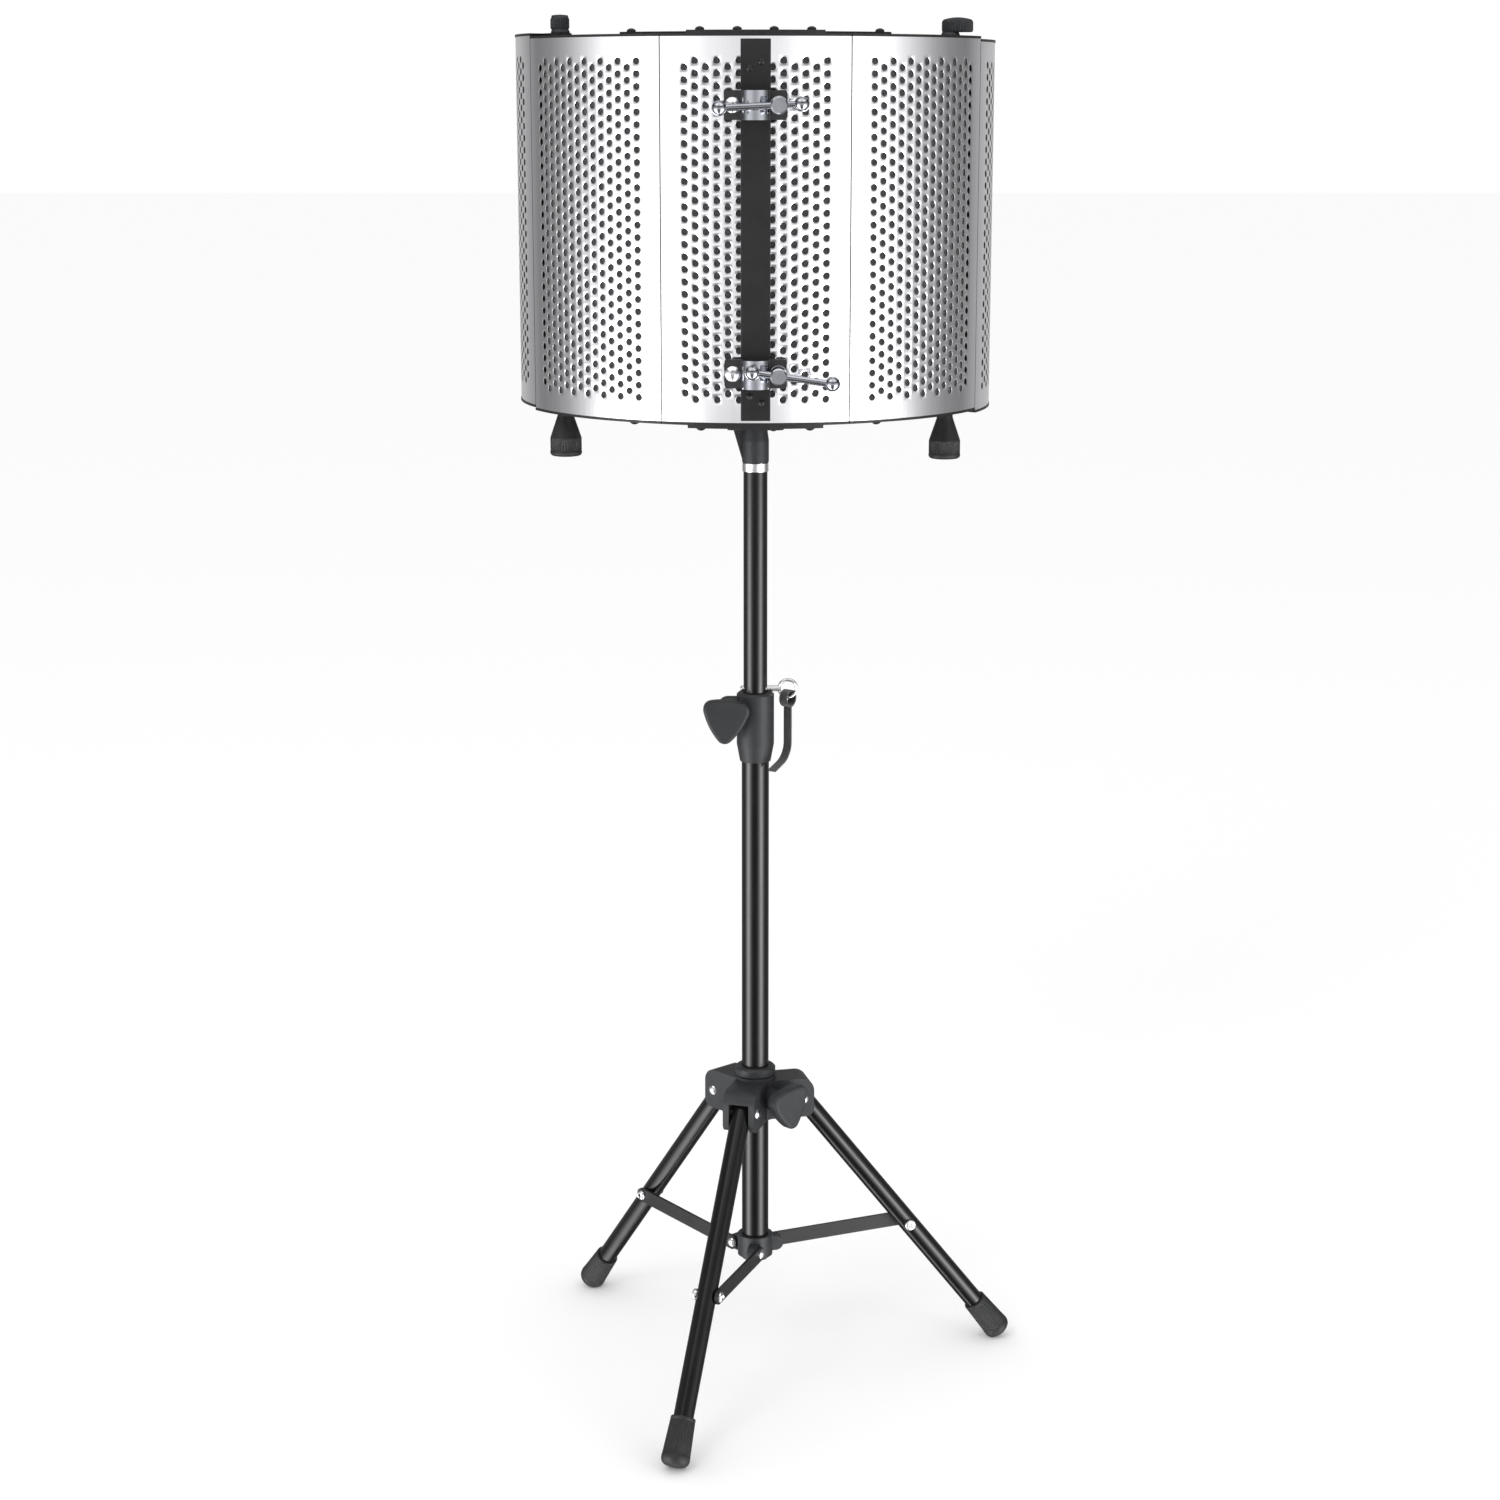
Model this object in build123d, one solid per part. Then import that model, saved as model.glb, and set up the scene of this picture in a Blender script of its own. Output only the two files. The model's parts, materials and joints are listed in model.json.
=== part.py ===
from build123d import *

import os
from math import atan2, cos, degrees, hypot, radians, sin

# Microphone isolation shield on a folding tripod stand, in millimetres.
# Origin: on the floor, under the axis of the stand's column.  +Z is up, the shield's
# convex metal side faces -Y and its open foam side faces +Y.

# ---------------------------------------------------------------- driving sizes: shield
SHIELD_RADIUS = 196.0          # outside radius of the curved metal sheets
PANEL_ANGLE = 43.9             # arc of each of the five panels, in degrees
SHEET_HEIGHT = 292.0
SHEET_THICK = 1.2
SEAM_GAP = 0.9                 # open seam between two sheets
FOAM_THICK = 36.0
END_PLATE_THICK = 2.0
END_PLATE_LIP = 0.4            # how far an end plate stands proud of its sheet
PLATE_INNER_LIP = 3.0          # how far an end plate covers the tips of the foam
WEDGE_DEPTH = 15.0             # depth of the grooves in the foam
WEDGE_WIDTH = 24.0             # about one groove in this width of foam
SHEET_FRONT = 27.0             # from the column's axis to the front of the centre sheet
SHIELD_BOTTOM = 793.0          # height of the centre sheet's lower edge above the floor

# ---------------------------------------------------------------- driving sizes: panel hinges
HINGE_INSET = 22.0             # from the outside of the sheet to a hinge's axis
INNER_HINGE_ANGLE = 33.4       # place of the inner hinges, in degrees from the front
OUTER_HINGE_ANGLE = 62.7       # place of the outer hinges
HINGE_SCREW_R = 2.5
RUNNING = 0.06                 # radial clearance of a turning shaft
FACE_GAP = 0.2                 # gap between flat faces that turn on each other
TAB_RADIUS = 9.0
LINK_THICK = 1.6

# ---------------------------------------------------------------- driving sizes: back bar and clamps
BAR_WIDTH = 23.0
BAR_THICK = 3.0
BAR_END_GAP = 2.0              # the bar stops this far inside each end of the sheet
RIVET_R = 2.6
STIFFENER_ANGLE = 15.6         # half the arc of the plate screwed over the centre end plates
STIFFENER_THICK = 2.6
CLAMP_BLOCK_DEPTH = 6.0
CLAMP_BLOCK_HEIGHT = 22.0
CLAMP_BORE_R = 8.6             # takes a pole of about 17 to 19 mm
SADDLE_THICK = 1.8
SADDLE_EAR = 11.5
UPPER_CLAMP_DOWN = 51.0        # from the sheet's upper edge to the upper clamp's centre
LOWER_CLAMP_UP = 39.0          # from the sheet's lower edge to the lower clamp's centre
SCREW_OUT = 9.0                # from the side of the pole to a clamp screw's axis
BLOCK_SIDE = 6.4               # from a clamp screw's axis to the end of its block
TEE_BOSS_R = 6.5
TEE_ROD_R = 2.7
TEE_ROD_SPAN = 62.0            # between the centres of the two balls
TEE_BALL_R = 5.8
UPPER_ROD_SHIFT = -14.0        # how far each rod is pushed through its boss
LOWER_ROD_SHIFT = 10.6
UPPER_ROD_TILT = -2.8          # degrees that the +X end hangs below level
LOWER_ROD_TILT = 8.0

# ---------------------------------------------------------------- driving sizes: thumb knobs and table feet
KNOB_LENGTH = 25.0
KNOB_WIDTH = 14.5
KNOB_HEIGHT = 11.5
KNOB_OFFSET = 5.5              # the oblong grip is centred this far from its stud
KNOB_DOME_R = 36.0
KNOB_NECK = 2.8
KNOB_NECK_R = 7.6
FOOT_R = 13.0
FOOT_HEIGHT = 37.0
FOOT_NECK_R = 6.4

# ---------------------------------------------------------------- driving sizes: stand
LOWER_TUBE_R = 11.0
TUBE_WALL = 1.2
TUBE_CLEAR = 0.3               # radial gap between the telescoping tubes
UPPER_TUBE_LENGTH = 422.0
LOWER_TUBE_BOTTOM = 95.0
LOWER_TUBE_TOP = 562.0
STUD_R = 7.9                   # 5/8 inch microphone thread
LOCK_RING_HEIGHT = 6.4
LOCK_RING_R = 10.3
SOCKET_R = 10.6
SOCKET_TOP_R = 9.0
SOCKET_HEIGHT = 29.3
COLLAR_HEIGHT = 56.0
COLLAR_WALL = 4.0
BUSH_HEIGHT = 12.6             # bush above the end of the lower tube
TRI_KNOB_R = 23.0              # rounded triangular grip, centre to corner
TRI_KNOB_THICK = 9.0
PIN_R = 2.4
PIN_REACH = 12.0               # pin tip, left of the column's axis
STRAP_WIDTH = 7.0
STRAP_THICK = 1.4

# ---------------------------------------------------------------- driving sizes: tripod
LEG_R = 8.0
LEG_WALL = 1.8
LEG_PIVOT_RADIUS = 38.0
FOOT_RADIUS = 216.0            # floor contact circle
LEG_DIRECTIONS = {"front": -107.0, "right": 13.0, "left": 133.0}  # degrees about +Z
CAP_WALL = 3.4                 # rubber around the leg at a cap's foot end
CAP_TOP_WALL = 1.9             # and at its upper end
CAP_LENGTH = 38.0
CAP_ROUND = 5.5
CAP_FLAT_DEPTH = 0.53          # how much the floor has flattened a cap's round edge
STRUT_PIVOT_OUT = 7.0          # from the side of the column to a strut's inner pivot
STRUT_PIVOT_UP = 7.0           # from the column's lower end to that pivot
STRUT_LEG_SHARE = 0.53         # place of the strut's pivot along the leg
STRUT_WIDTH = 12.0
STRUT_THICK = 2.4
HUB_BOTTOM = 217.0
HUB_HEIGHT = 36.0
HUB_WALL = 6.0
HUB_RING_HEIGHT = 8.0
LUG_CHEEK = 5.0
PIVOT_BOLT_R = 2.5

# ---------------------------------------------------------------- worked-out places
ARC_CENTRE_Y = SHIELD_RADIUS - SHEET_FRONT
SHIELD_TOP = SHIELD_BOTTOM + SHEET_HEIGHT
SHEET_INNER_R = SHIELD_RADIUS - SHEET_THICK
FOAM_INNER_R = SHEET_INNER_R - FOAM_THICK
PLATE_OUTER_R = SHIELD_RADIUS + END_PLATE_LIP
PLATE_INNER_R = FOAM_INNER_R - PLATE_INNER_LIP
HINGE_R = SHIELD_RADIUS - HINGE_INSET
WING_SHIFT = END_PLATE_THICK + FACE_GAP
INNER_SEAM = PANEL_ANGLE / 2
OUTER_SEAM = PANEL_ANGLE * 1.5
WING_END = PANEL_ANGLE * 2.5
BAR_FRONT = -SHEET_FRONT - BAR_THICK
SCREW_X = CLAMP_BORE_R + SCREW_OUT
UPPER_TUBE_R = LOWER_TUBE_R - TUBE_WALL - TUBE_CLEAR
SOCKET_TOP = SHIELD_BOTTOM - END_PLATE_THICK - STIFFENER_THICK
SOCKET_BOTTOM = SOCKET_TOP - SOCKET_HEIGHT
UPPER_TUBE_TOP = SOCKET_BOTTOM - LOCK_RING_HEIGHT - FACE_GAP * 2
COLLAR_TOP = LOWER_TUBE_TOP + BUSH_HEIGHT
COLLAR_BOTTOM = COLLAR_TOP - COLLAR_HEIGHT
COLLAR_R = LOWER_TUBE_R + COLLAR_WALL
HUB_TOP = HUB_BOTTOM + HUB_HEIGHT
HUB_R = LOWER_TUBE_R + HUB_WALL
HUB_RING_TOP = HUB_TOP + HUB_RING_HEIGHT
LEG_PIVOT_Z = HUB_BOTTOM + 15.0
CAP_R = LEG_R + CAP_WALL
CAP_TOP_R = LEG_R + CAP_TOP_WALL
STRUT_PIVOT_RADIUS = LOWER_TUBE_R + STRUT_PIVOT_OUT
STRUT_PIVOT_Z = LOWER_TUBE_BOTTOM + STRUT_PIVOT_UP


def polar(radius, angle):
    """Plan position on the shield, at an angle measured from the front towards +X."""
    return (radius * sin(radians(angle)), ARC_CENTRE_Y - radius * cos(radians(angle)))


def sector(outer_r, inner_r, outer_ends, inner_ends):
    """Face between two arcs about the shield's centre, each with its own end angles."""
    a0, a1 = outer_ends
    b0, b1 = inner_ends
    p0, pm, p1 = polar(outer_r, a0), polar(outer_r, (a0 + a1) / 2), polar(outer_r, a1)
    q0, qm, q1 = polar(inner_r, b0), polar(inner_r, (b0 + b1) / 2), polar(inner_r, b1)
    edges = [
        ThreePointArc(p0, pm, p1),
        Line(p1, q1),
        ThreePointArc(q1, qm, q0),
        Line(q0, p0),
    ]
    return make_face(edges)


def slab(face, bottom, top):
    return extrude(Pos(0, 0, bottom) * face, amount=top - bottom, dir=(0, 0, 1))


def arc_degrees(length, radius):
    return degrees(length / radius)


def rod(radius, start, end):
    """Cylinder between two points."""
    start, end = Vector(*start), Vector(*end)
    plane = Plane(origin=start, z_dir=end - start)
    return plane * Cylinder(radius, (end - start).length, align=(Align.CENTER, Align.CENTER, Align.MIN))


def upright(radius, x, y, bottom, top):
    return rod(radius, (x, y, bottom), (x, y, top))


def dome(radius, height, edge=0.0):
    """Domed head on the plane z = 0, with a straight edge below its spherical cap."""
    cap = height - edge
    sphere_r = (radius ** 2 + cap ** 2) / (2 * cap)
    half_turn = atan2(radius, sphere_r - cap) / 2
    middle = (sphere_r * sin(half_turn), height - sphere_r + sphere_r * cos(half_turn))
    profile = [
        Line((0, 0), (radius, 0)),
        ThreePointArc((radius, edge), middle, (0, height)),
        Line((0, height), (0, 0)),
    ]
    if edge > 0:
        profile.append(Line((radius, 0), (radius, edge)))
    return revolve(Plane.XZ * make_face(profile), Axis.Z)


def pan_head(radius, height, x, y, base, up):
    """Low domed screw head that stands on z = base, upwards or downwards."""
    head = dome(radius, height, height * 0.45)
    if not up:
        head = Rot(180, 0, 0) * head
    return Pos(x, y, base) * head


def lathe(points):
    """Solid of revolution about Z through (radius, height) corner points."""
    face = make_face(Polyline(*points, close=True))
    return revolve(Plane.XZ * face, Axis.Z)


def save(name, *solids):
    shape = solids[0] if len(solids) == 1 else Compound(children=list(solids))
    found = sum(len(s.solids()) for s in solids)
    assert found == len(solids), f"{name} has {found} solids in place of {len(solids)}"
    shape.label = name
    export_step(shape, f"parts/{name}.step")


# ================================================================ shield panels
SIDES = {"left": -1, "right": 1}
FOAM_SEAM_TRIM = 4.0           # foam stops this far short of an inner seam
HINGE_FOAM_CLEAR = 10.0        # foam stops this far from an outer hinge's axis, towards the centre
WING_FOAM_CLEAR = 9.5          # and this far from it on the wing
CORNER_TRIM = 2.8              # degrees cut off the inside corner of a folding plate
FOAM_END_GAP = 0.3


def ends(a0, a1, side=1):
    return (a0, a1) if side > 0 else (-a1, -a0)


def panel_sheet(a0, a1, bottom):
    half_gap = arc_degrees(SEAM_GAP / 2, SHIELD_RADIUS)
    span = (a0 + half_gap, a1 - half_gap)
    return slab(sector(SHIELD_RADIUS, SHEET_INNER_R, span, span), bottom, bottom + SHEET_HEIGHT)


def panel_foam(a0, a1, bottom, end_gap=FOAM_END_GAP):
    """Foam slab with upright wedges cut into its open side."""
    arc = radians(a1 - a0) * FOAM_INNER_R
    wedges = max(1, round(arc / WEDGE_WIDTH))
    half_step = (a1 - a0) / wedges / 2
    crests = []
    for i in range(2 * wedges + 1):
        radius = FOAM_INNER_R if i % 2 else FOAM_INNER_R + WEDGE_DEPTH
        crests.append(polar(radius, a1 - i * half_step))
    back = ThreePointArc(*[polar(SHEET_INNER_R, a) for a in (a0, (a0 + a1) / 2, a1)])
    outline = Polyline(back @ 1, *crests, back @ 0)
    return slab(make_face([back, outline]), bottom + end_gap, bottom + SHEET_HEIGHT - end_gap)


def pivot_hole(radius, place, bottom, top):
    x, y = place
    return upright(radius, x, y, bottom - 1, top + 1)


def centre_plates():
    seam = arc_degrees(SEAM_GAP / 2, SHIELD_RADIUS)
    span = (-INNER_SEAM + seam, INNER_SEAM - seam)
    face = sector(PLATE_OUTER_R, PLATE_INNER_R, span, span)
    upper = slab(face, SHIELD_TOP, SHIELD_TOP + END_PLATE_THICK)
    lower = slab(face, SHIELD_BOTTOM - END_PLATE_THICK, SHIELD_BOTTOM)
    return upper, lower


def side_plates(side):
    seam = arc_degrees(SEAM_GAP / 2, SHIELD_RADIUS)
    outer = ends(INNER_SEAM + seam, OUTER_SEAM - seam, side)
    inner = ends(INNER_SEAM + CORNER_TRIM, OUTER_SEAM - seam, side)
    face = sector(PLATE_OUTER_R, PLATE_INNER_R, outer, inner)
    plates = []
    for bottom in (SHIELD_TOP, SHIELD_BOTTOM - END_PLATE_THICK):
        top = bottom + END_PLATE_THICK
        plate = slab(face, bottom, top)
        for angle in (INNER_HINGE_ANGLE, OUTER_HINGE_ANGLE):
            place = polar(HINGE_R, side * angle)
            plate -= pivot_hole(HINGE_SCREW_R + RUNNING, place, bottom, top)
        plates.append(plate)
    return plates


def wing_face(side):
    """Wing end plate in plan: the arc band, with a round hinge tab that reaches over the next panel."""
    seam = arc_degrees(SEAM_GAP / 2, SHIELD_RADIUS)
    outer = ends(OUTER_SEAM + seam, WING_END, side)
    inner = ends(OUTER_SEAM + CORNER_TRIM * 2, WING_END, side)
    band = sector(PLATE_OUTER_R, PLATE_INNER_R, outer, inner)
    reach = ends(OUTER_HINGE_ANGLE, OUTER_SEAM + CORNER_TRIM * 2 + 1, side)
    neck = sector(HINGE_R + TAB_RADIUS, HINGE_R - TAB_RADIUS, reach, reach)
    x, y = polar(HINGE_R, side * OUTER_HINGE_ANGLE)
    tab = Pos(x, y) * Circle(TAB_RADIUS)
    return band + neck + tab


def wing_plates(side, shift):
    face = wing_face(side)
    place = polar(HINGE_R, side * OUTER_HINGE_ANGLE)
    plates = []
    for bottom in (SHIELD_TOP + shift, SHIELD_BOTTOM - END_PLATE_THICK + shift):
        plate = slab(face, bottom, bottom + END_PLATE_THICK)
        plate -= pivot_hole(HINGE_SCREW_R + RUNNING, place, bottom, bottom + END_PLATE_THICK)
        plates.append(plate)
    return plates


def make_panels():
    save("centre_sheet", panel_sheet(-INNER_SEAM, INNER_SEAM, SHIELD_BOTTOM))
    trim = arc_degrees(FOAM_SEAM_TRIM, FOAM_INNER_R)
    save("centre_foam", panel_foam(-INNER_SEAM + trim, INNER_SEAM - trim, SHIELD_BOTTOM))
    save("centre_end_plates", *centre_plates())
    hinge_trim = arc_degrees(HINGE_FOAM_CLEAR, HINGE_R)
    wing_trim = arc_degrees(WING_FOAM_CLEAR, HINGE_R)
    for name, side in SIDES.items():
        save(f"{name}_sheet", panel_sheet(*ends(INNER_SEAM, OUTER_SEAM, side), SHIELD_BOTTOM))
        side_foam = ends(INNER_SEAM + trim, OUTER_HINGE_ANGLE - hinge_trim, side)
        save(f"{name}_foam", panel_foam(*side_foam, SHIELD_BOTTOM))
        save(f"{name}_end_plates", *side_plates(side))
        # One wing part serves both sides, turned over, so the two stand one plate apart in height.
        shift = WING_SHIFT if name == "left" else -WING_SHIFT
        save(f"{name}_wing_sheet", panel_sheet(*ends(OUTER_SEAM, WING_END, side), SHIELD_BOTTOM + shift))
        wing_foam = ends(OUTER_HINGE_ANGLE + wing_trim, WING_END, side)
        wing_gap = FOAM_END_GAP + WING_SHIFT   # the slab folds over the next panel's end plates
        save(f"{name}_wing_foam", panel_foam(*wing_foam, SHIELD_BOTTOM + shift, wing_gap))
        save(f"{name}_wing_end_plates", *wing_plates(side, shift))


# ================================================================ hinge links and screws
LINK_INBOARD = 6.0             # degrees from a seam to the link's fixed end


def hinge_link(side, bottom):
    """Strap that joins the centre end plate to an inner hinge pin."""
    reach = ends(INNER_SEAM - LINK_INBOARD, INNER_HINGE_ANGLE, side)
    band = sector(HINGE_R + TAB_RADIUS, HINGE_R - TAB_RADIUS, reach, reach)
    x, y = polar(HINGE_R, side * INNER_HINGE_ANGLE)
    link = slab(band + Pos(x, y) * Circle(TAB_RADIUS), bottom, bottom + LINK_THICK)
    return link - upright(HINGE_SCREW_R, x, y, bottom - 1, bottom + LINK_THICK + 1)


def link_foot(side, bottom, height):
    """Spot-welded pad that fills the gap between a link and the centre end plate."""
    reach = ends(INNER_SEAM - LINK_INBOARD, INNER_SEAM - 1.0, side)
    return slab(sector(HINGE_R + TAB_RADIUS, HINGE_R - TAB_RADIUS, reach, reach), bottom, bottom + height)


def make_hinge_links():
    links = []
    top = SHIELD_TOP + END_PLATE_THICK
    low = SHIELD_BOTTOM - END_PLATE_THICK
    for side in SIDES.values():
        links.append(hinge_link(side, top + FACE_GAP) + link_foot(side, top, FACE_GAP))
        below = low - FACE_GAP - LINK_THICK
        links.append(hinge_link(side, below) + link_foot(side, low - FACE_GAP, FACE_GAP))
    save("hinge_links", *links)


HEAD_R = 3.5
HEAD_HEIGHT = 2.8
SCREW_GRIP = LINK_THICK + FACE_GAP + END_PLATE_THICK
STIFFENER_SCREW_ANGLES = (-13.14, -4.29, 4.29, 13.14)
STIFFENER_SCREW_INSET = 9.0    # from the outside of the sheet to the stiffener's screws
STIFFENER_SCREW_R = 2.0


def hinge_screws():
    screws = []
    for side in SIDES.values():
        x, y = polar(HINGE_R, side * INNER_HINGE_ANGLE)
        top = SHIELD_TOP + END_PLATE_THICK + FACE_GAP + LINK_THICK
        low = SHIELD_BOTTOM - END_PLATE_THICK - FACE_GAP - LINK_THICK
        upper = pan_head(HEAD_R, HEAD_HEIGHT, x, y, top, True)
        lower = pan_head(HEAD_R, HEAD_HEIGHT, x, y, low, False)
        screws.append(upper + upright(HINGE_SCREW_R, x, y, top - SCREW_GRIP, top))
        screws.append(lower + upright(HINGE_SCREW_R, x, y, low, low + SCREW_GRIP))
    return screws


def stiffener_places():
    for angle in STIFFENER_SCREW_ANGLES:
        yield polar(SHIELD_RADIUS - STIFFENER_SCREW_INSET, angle)


def stiffener(bottom):
    span = (-STIFFENER_ANGLE, STIFFENER_ANGLE)
    plate = slab(sector(PLATE_OUTER_R, PLATE_INNER_R + 4, span, span), bottom, bottom + STIFFENER_THICK)
    for x, y in stiffener_places():
        plate -= upright(STIFFENER_SCREW_R, x, y, bottom - 1, bottom + STIFFENER_THICK + 1)
    return plate


def make_stiffeners():
    top = SHIELD_TOP + END_PLATE_THICK
    low = SHIELD_BOTTOM - END_PLATE_THICK - STIFFENER_THICK
    save("end_stiffeners", stiffener(top), stiffener(low))
    screws = hinge_screws()
    for x, y in stiffener_places():
        upper = pan_head(HEAD_R, HEAD_HEIGHT, x, y, top + STIFFENER_THICK, True)
        lower = pan_head(HEAD_R, HEAD_HEIGHT, x, y, low, False)
        screws.append(upper + upright(STIFFENER_SCREW_R, x, y, top, top + STIFFENER_THICK))
        screws.append(lower + upright(STIFFENER_SCREW_R, x, y, low, low + STIFFENER_THICK))
    save("panel_screws", *screws)


# ================================================================ back bar and pole clamps
RIVET_HEAD = 1.3
RIVET_X = 4.6
RIVETS_DOWN = (24.0, 19.0)     # left and right rivet, below the sheet's upper edge
RIVETS_UP = (21.0, 16.0)       # and above its lower edge
CLAMP_BOLT_R = 3.0
CLAMP_BOLT_HEAD = (6.0, 2.8)
SADDLE_GAP = 0.6               # between the saddle's ears and its block when clamped


def facing(x, y, z):
    """Frame whose Z points to the front, -Y, at a point."""
    return Plane(origin=(x, y, z), x_dir=(1, 0, 0), z_dir=(0, -1, 0))


def make_bar():
    middle = SHIELD_BOTTOM + SHEET_HEIGHT / 2
    place = Pos(0, BAR_FRONT + BAR_THICK / 2, middle)
    bar = place * Box(BAR_WIDTH, BAR_THICK, SHEET_HEIGHT - BAR_END_GAP * 2)
    bar = fillet(bar.edges().filter_by(Axis.Z).group_by(Axis.Y)[0], 0.8)
    save("back_bar", bar)
    heads = []
    for x, down, up in zip((-RIVET_X, RIVET_X), RIVETS_DOWN, RIVETS_UP):
        for z in (SHIELD_TOP - down, SHIELD_BOTTOM + up):
            heads.append(facing(x, BAR_FRONT, z) * dome(RIVET_R, RIVET_HEAD))
    save("bar_rivets", *heads)


def clamp_block(z):
    width = (SCREW_X + BLOCK_SIDE) * 2
    depth, height = CLAMP_BLOCK_DEPTH, CLAMP_BLOCK_HEIGHT
    block = Pos(0, BAR_FRONT - depth / 2, z) * Box(width, depth, height)
    block = fillet(block.edges().filter_by(Axis.Y), 2.5)
    seat_y = BAR_FRONT - depth - SADDLE_GAP / 2
    block -= upright(CLAMP_BORE_R, 0, pole_axis_y(), z - height, z + height)
    for x in (-SCREW_X, SCREW_X):
        block -= rod(CLAMP_BOLT_R + RUNNING, (x, 0, z), (x, seat_y - 1, z))
    return block


def pole_axis_y():
    return BAR_FRONT - CLAMP_BLOCK_DEPTH - SADDLE_GAP / 2 - CLAMP_BORE_R * 0.62


def clamp_saddle(z):
    """Half-round strap with a flat ear on each side."""
    height = CLAMP_BLOCK_HEIGHT
    ear_back = BAR_FRONT - CLAMP_BLOCK_DEPTH - SADDLE_GAP
    ear_front = ear_back - SADDLE_THICK
    outer_r = CLAMP_BORE_R + SADDLE_THICK
    axis_y = pole_axis_y()
    half_width = SCREW_X + SADDLE_EAR / 2
    face = Pos(0, axis_y) * Circle(outer_r) + Pos(0, (ear_back + ear_front) / 2) * Rectangle(
        half_width * 2, SADDLE_THICK)
    face -= Pos(0, axis_y) * Circle(CLAMP_BORE_R)
    face -= Pos(0, ear_back + 20) * Rectangle(outer_r * 4, 40)
    saddle = extrude(Pos(0, 0, z - height / 2) * face, amount=height, dir=(0, 0, 1))
    for x in (-SCREW_X, SCREW_X):
        radius = CLAMP_BOLT_R if x < 0 else CLAMP_BOLT_R + RUNNING
        saddle -= rod(radius, (x, ear_back + 1, z), (x, ear_front - 1, z))
    return saddle


def clamp_bolt(z):
    head_r, head_h = CLAMP_BOLT_HEAD
    ear_front = BAR_FRONT - CLAMP_BLOCK_DEPTH - SADDLE_GAP - SADDLE_THICK
    shank = rod(CLAMP_BOLT_R, (-SCREW_X, BAR_FRONT - 0.5, z), (-SCREW_X, ear_front, z))
    return shank + facing(-SCREW_X, ear_front, z) * dome(head_r, head_h)


def tee_rod_y():
    """The tee rod passes in front of the saddle."""
    return pole_axis_y() - CLAMP_BORE_R - SADDLE_THICK - TEE_BALL_R - 1.2


def tee_screw(z, tilt):
    ear_front = BAR_FRONT - CLAMP_BLOCK_DEPTH - SADDLE_GAP - SADDLE_THICK
    rod_y = tee_rod_y()
    boss_front = rod_y - TEE_BOSS_R
    shank = rod(CLAMP_BOLT_R, (SCREW_X, BAR_FRONT - 0.5, z), (SCREW_X, ear_front, z))
    flange = rod(TEE_BOSS_R + 0.4, (SCREW_X, ear_front - FACE_GAP, z), (SCREW_X, ear_front - 2.2, z))
    boss = rod(TEE_BOSS_R, (SCREW_X, ear_front - 2.2, z), (SCREW_X, boss_front, z))
    boss = chamfer(boss.edges().group_by(Axis.Y)[0], 1.0)
    screw = shank + flange + boss + rod(CLAMP_BOLT_R, (SCREW_X, ear_front, z), (SCREW_X, ear_front - 2.2, z))
    bore = Rot(0, tilt, 0) * rod(TEE_ROD_R + RUNNING, (-40, 0, 0), (40, 0, 0))
    return screw - Pos(SCREW_X, rod_y, z) * bore


def tee_rod(z, tilt, shift):
    half = TEE_ROD_SPAN / 2
    bar = rod(TEE_ROD_R, (shift - half, 0, 0), (shift + half, 0, 0))
    for x in (shift - half, shift + half):
        bar += Pos(x, 0, 0) * Sphere(TEE_BALL_R)
    return Pos(SCREW_X, tee_rod_y(), z) * (Rot(0, tilt, 0) * bar)


CLAMPS = {
    "upper": (SHIELD_TOP - UPPER_CLAMP_DOWN, UPPER_ROD_TILT, UPPER_ROD_SHIFT),
    "lower": (SHIELD_BOTTOM + LOWER_CLAMP_UP, LOWER_ROD_TILT, LOWER_ROD_SHIFT),
}


def make_clamps():
    for name, (z, tilt, shift) in CLAMPS.items():
        save(f"{name}_clamp_block", clamp_block(z))
        save(f"{name}_clamp_saddle", clamp_saddle(z))
        save(f"{name}_clamp_bolt", clamp_bolt(z))
        save(f"{name}_tee_screw", tee_screw(z, tilt))
        save(f"{name}_tee_rod", tee_rod(z, tilt, shift))


# ================================================================ thumb knobs and table feet
KNOB_TURN = {"left": 97.0, "right": 0.0}   # how far each oblong knob happens to be turned
STUD_LENGTH = 10.0


def thumb_knob(name, side):
    x, y = polar(HINGE_R, side * OUTER_HINGE_ANGLE)
    base = SHIELD_TOP + END_PLATE_THICK + FACE_GAP
    if name == "left":
        base += END_PLATE_THICK + FACE_GAP
    neck = lathe([(0, 0), (KNOB_NECK_R, 0), (KNOB_NECK_R - 1.2, KNOB_NECK), (0, KNOB_NECK)])
    grip = extrude(SlotOverall(KNOB_LENGTH, KNOB_WIDTH), amount=KNOB_HEIGHT)
    grip = chamfer(grip.faces().sort_by(Axis.Z)[0].edges(), 0.8)
    grip &= Pos(0, 0, KNOB_HEIGHT - KNOB_DOME_R) * Sphere(KNOB_DOME_R)
    stud = upright(HINGE_SCREW_R, 0, 0, -STUD_LENGTH, 0)
    knob = neck + Pos(KNOB_OFFSET, 0, KNOB_NECK) * grip + stud
    return Pos(x, y, base) * Rot(0, 0, KNOB_TURN[name]) * knob


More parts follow.
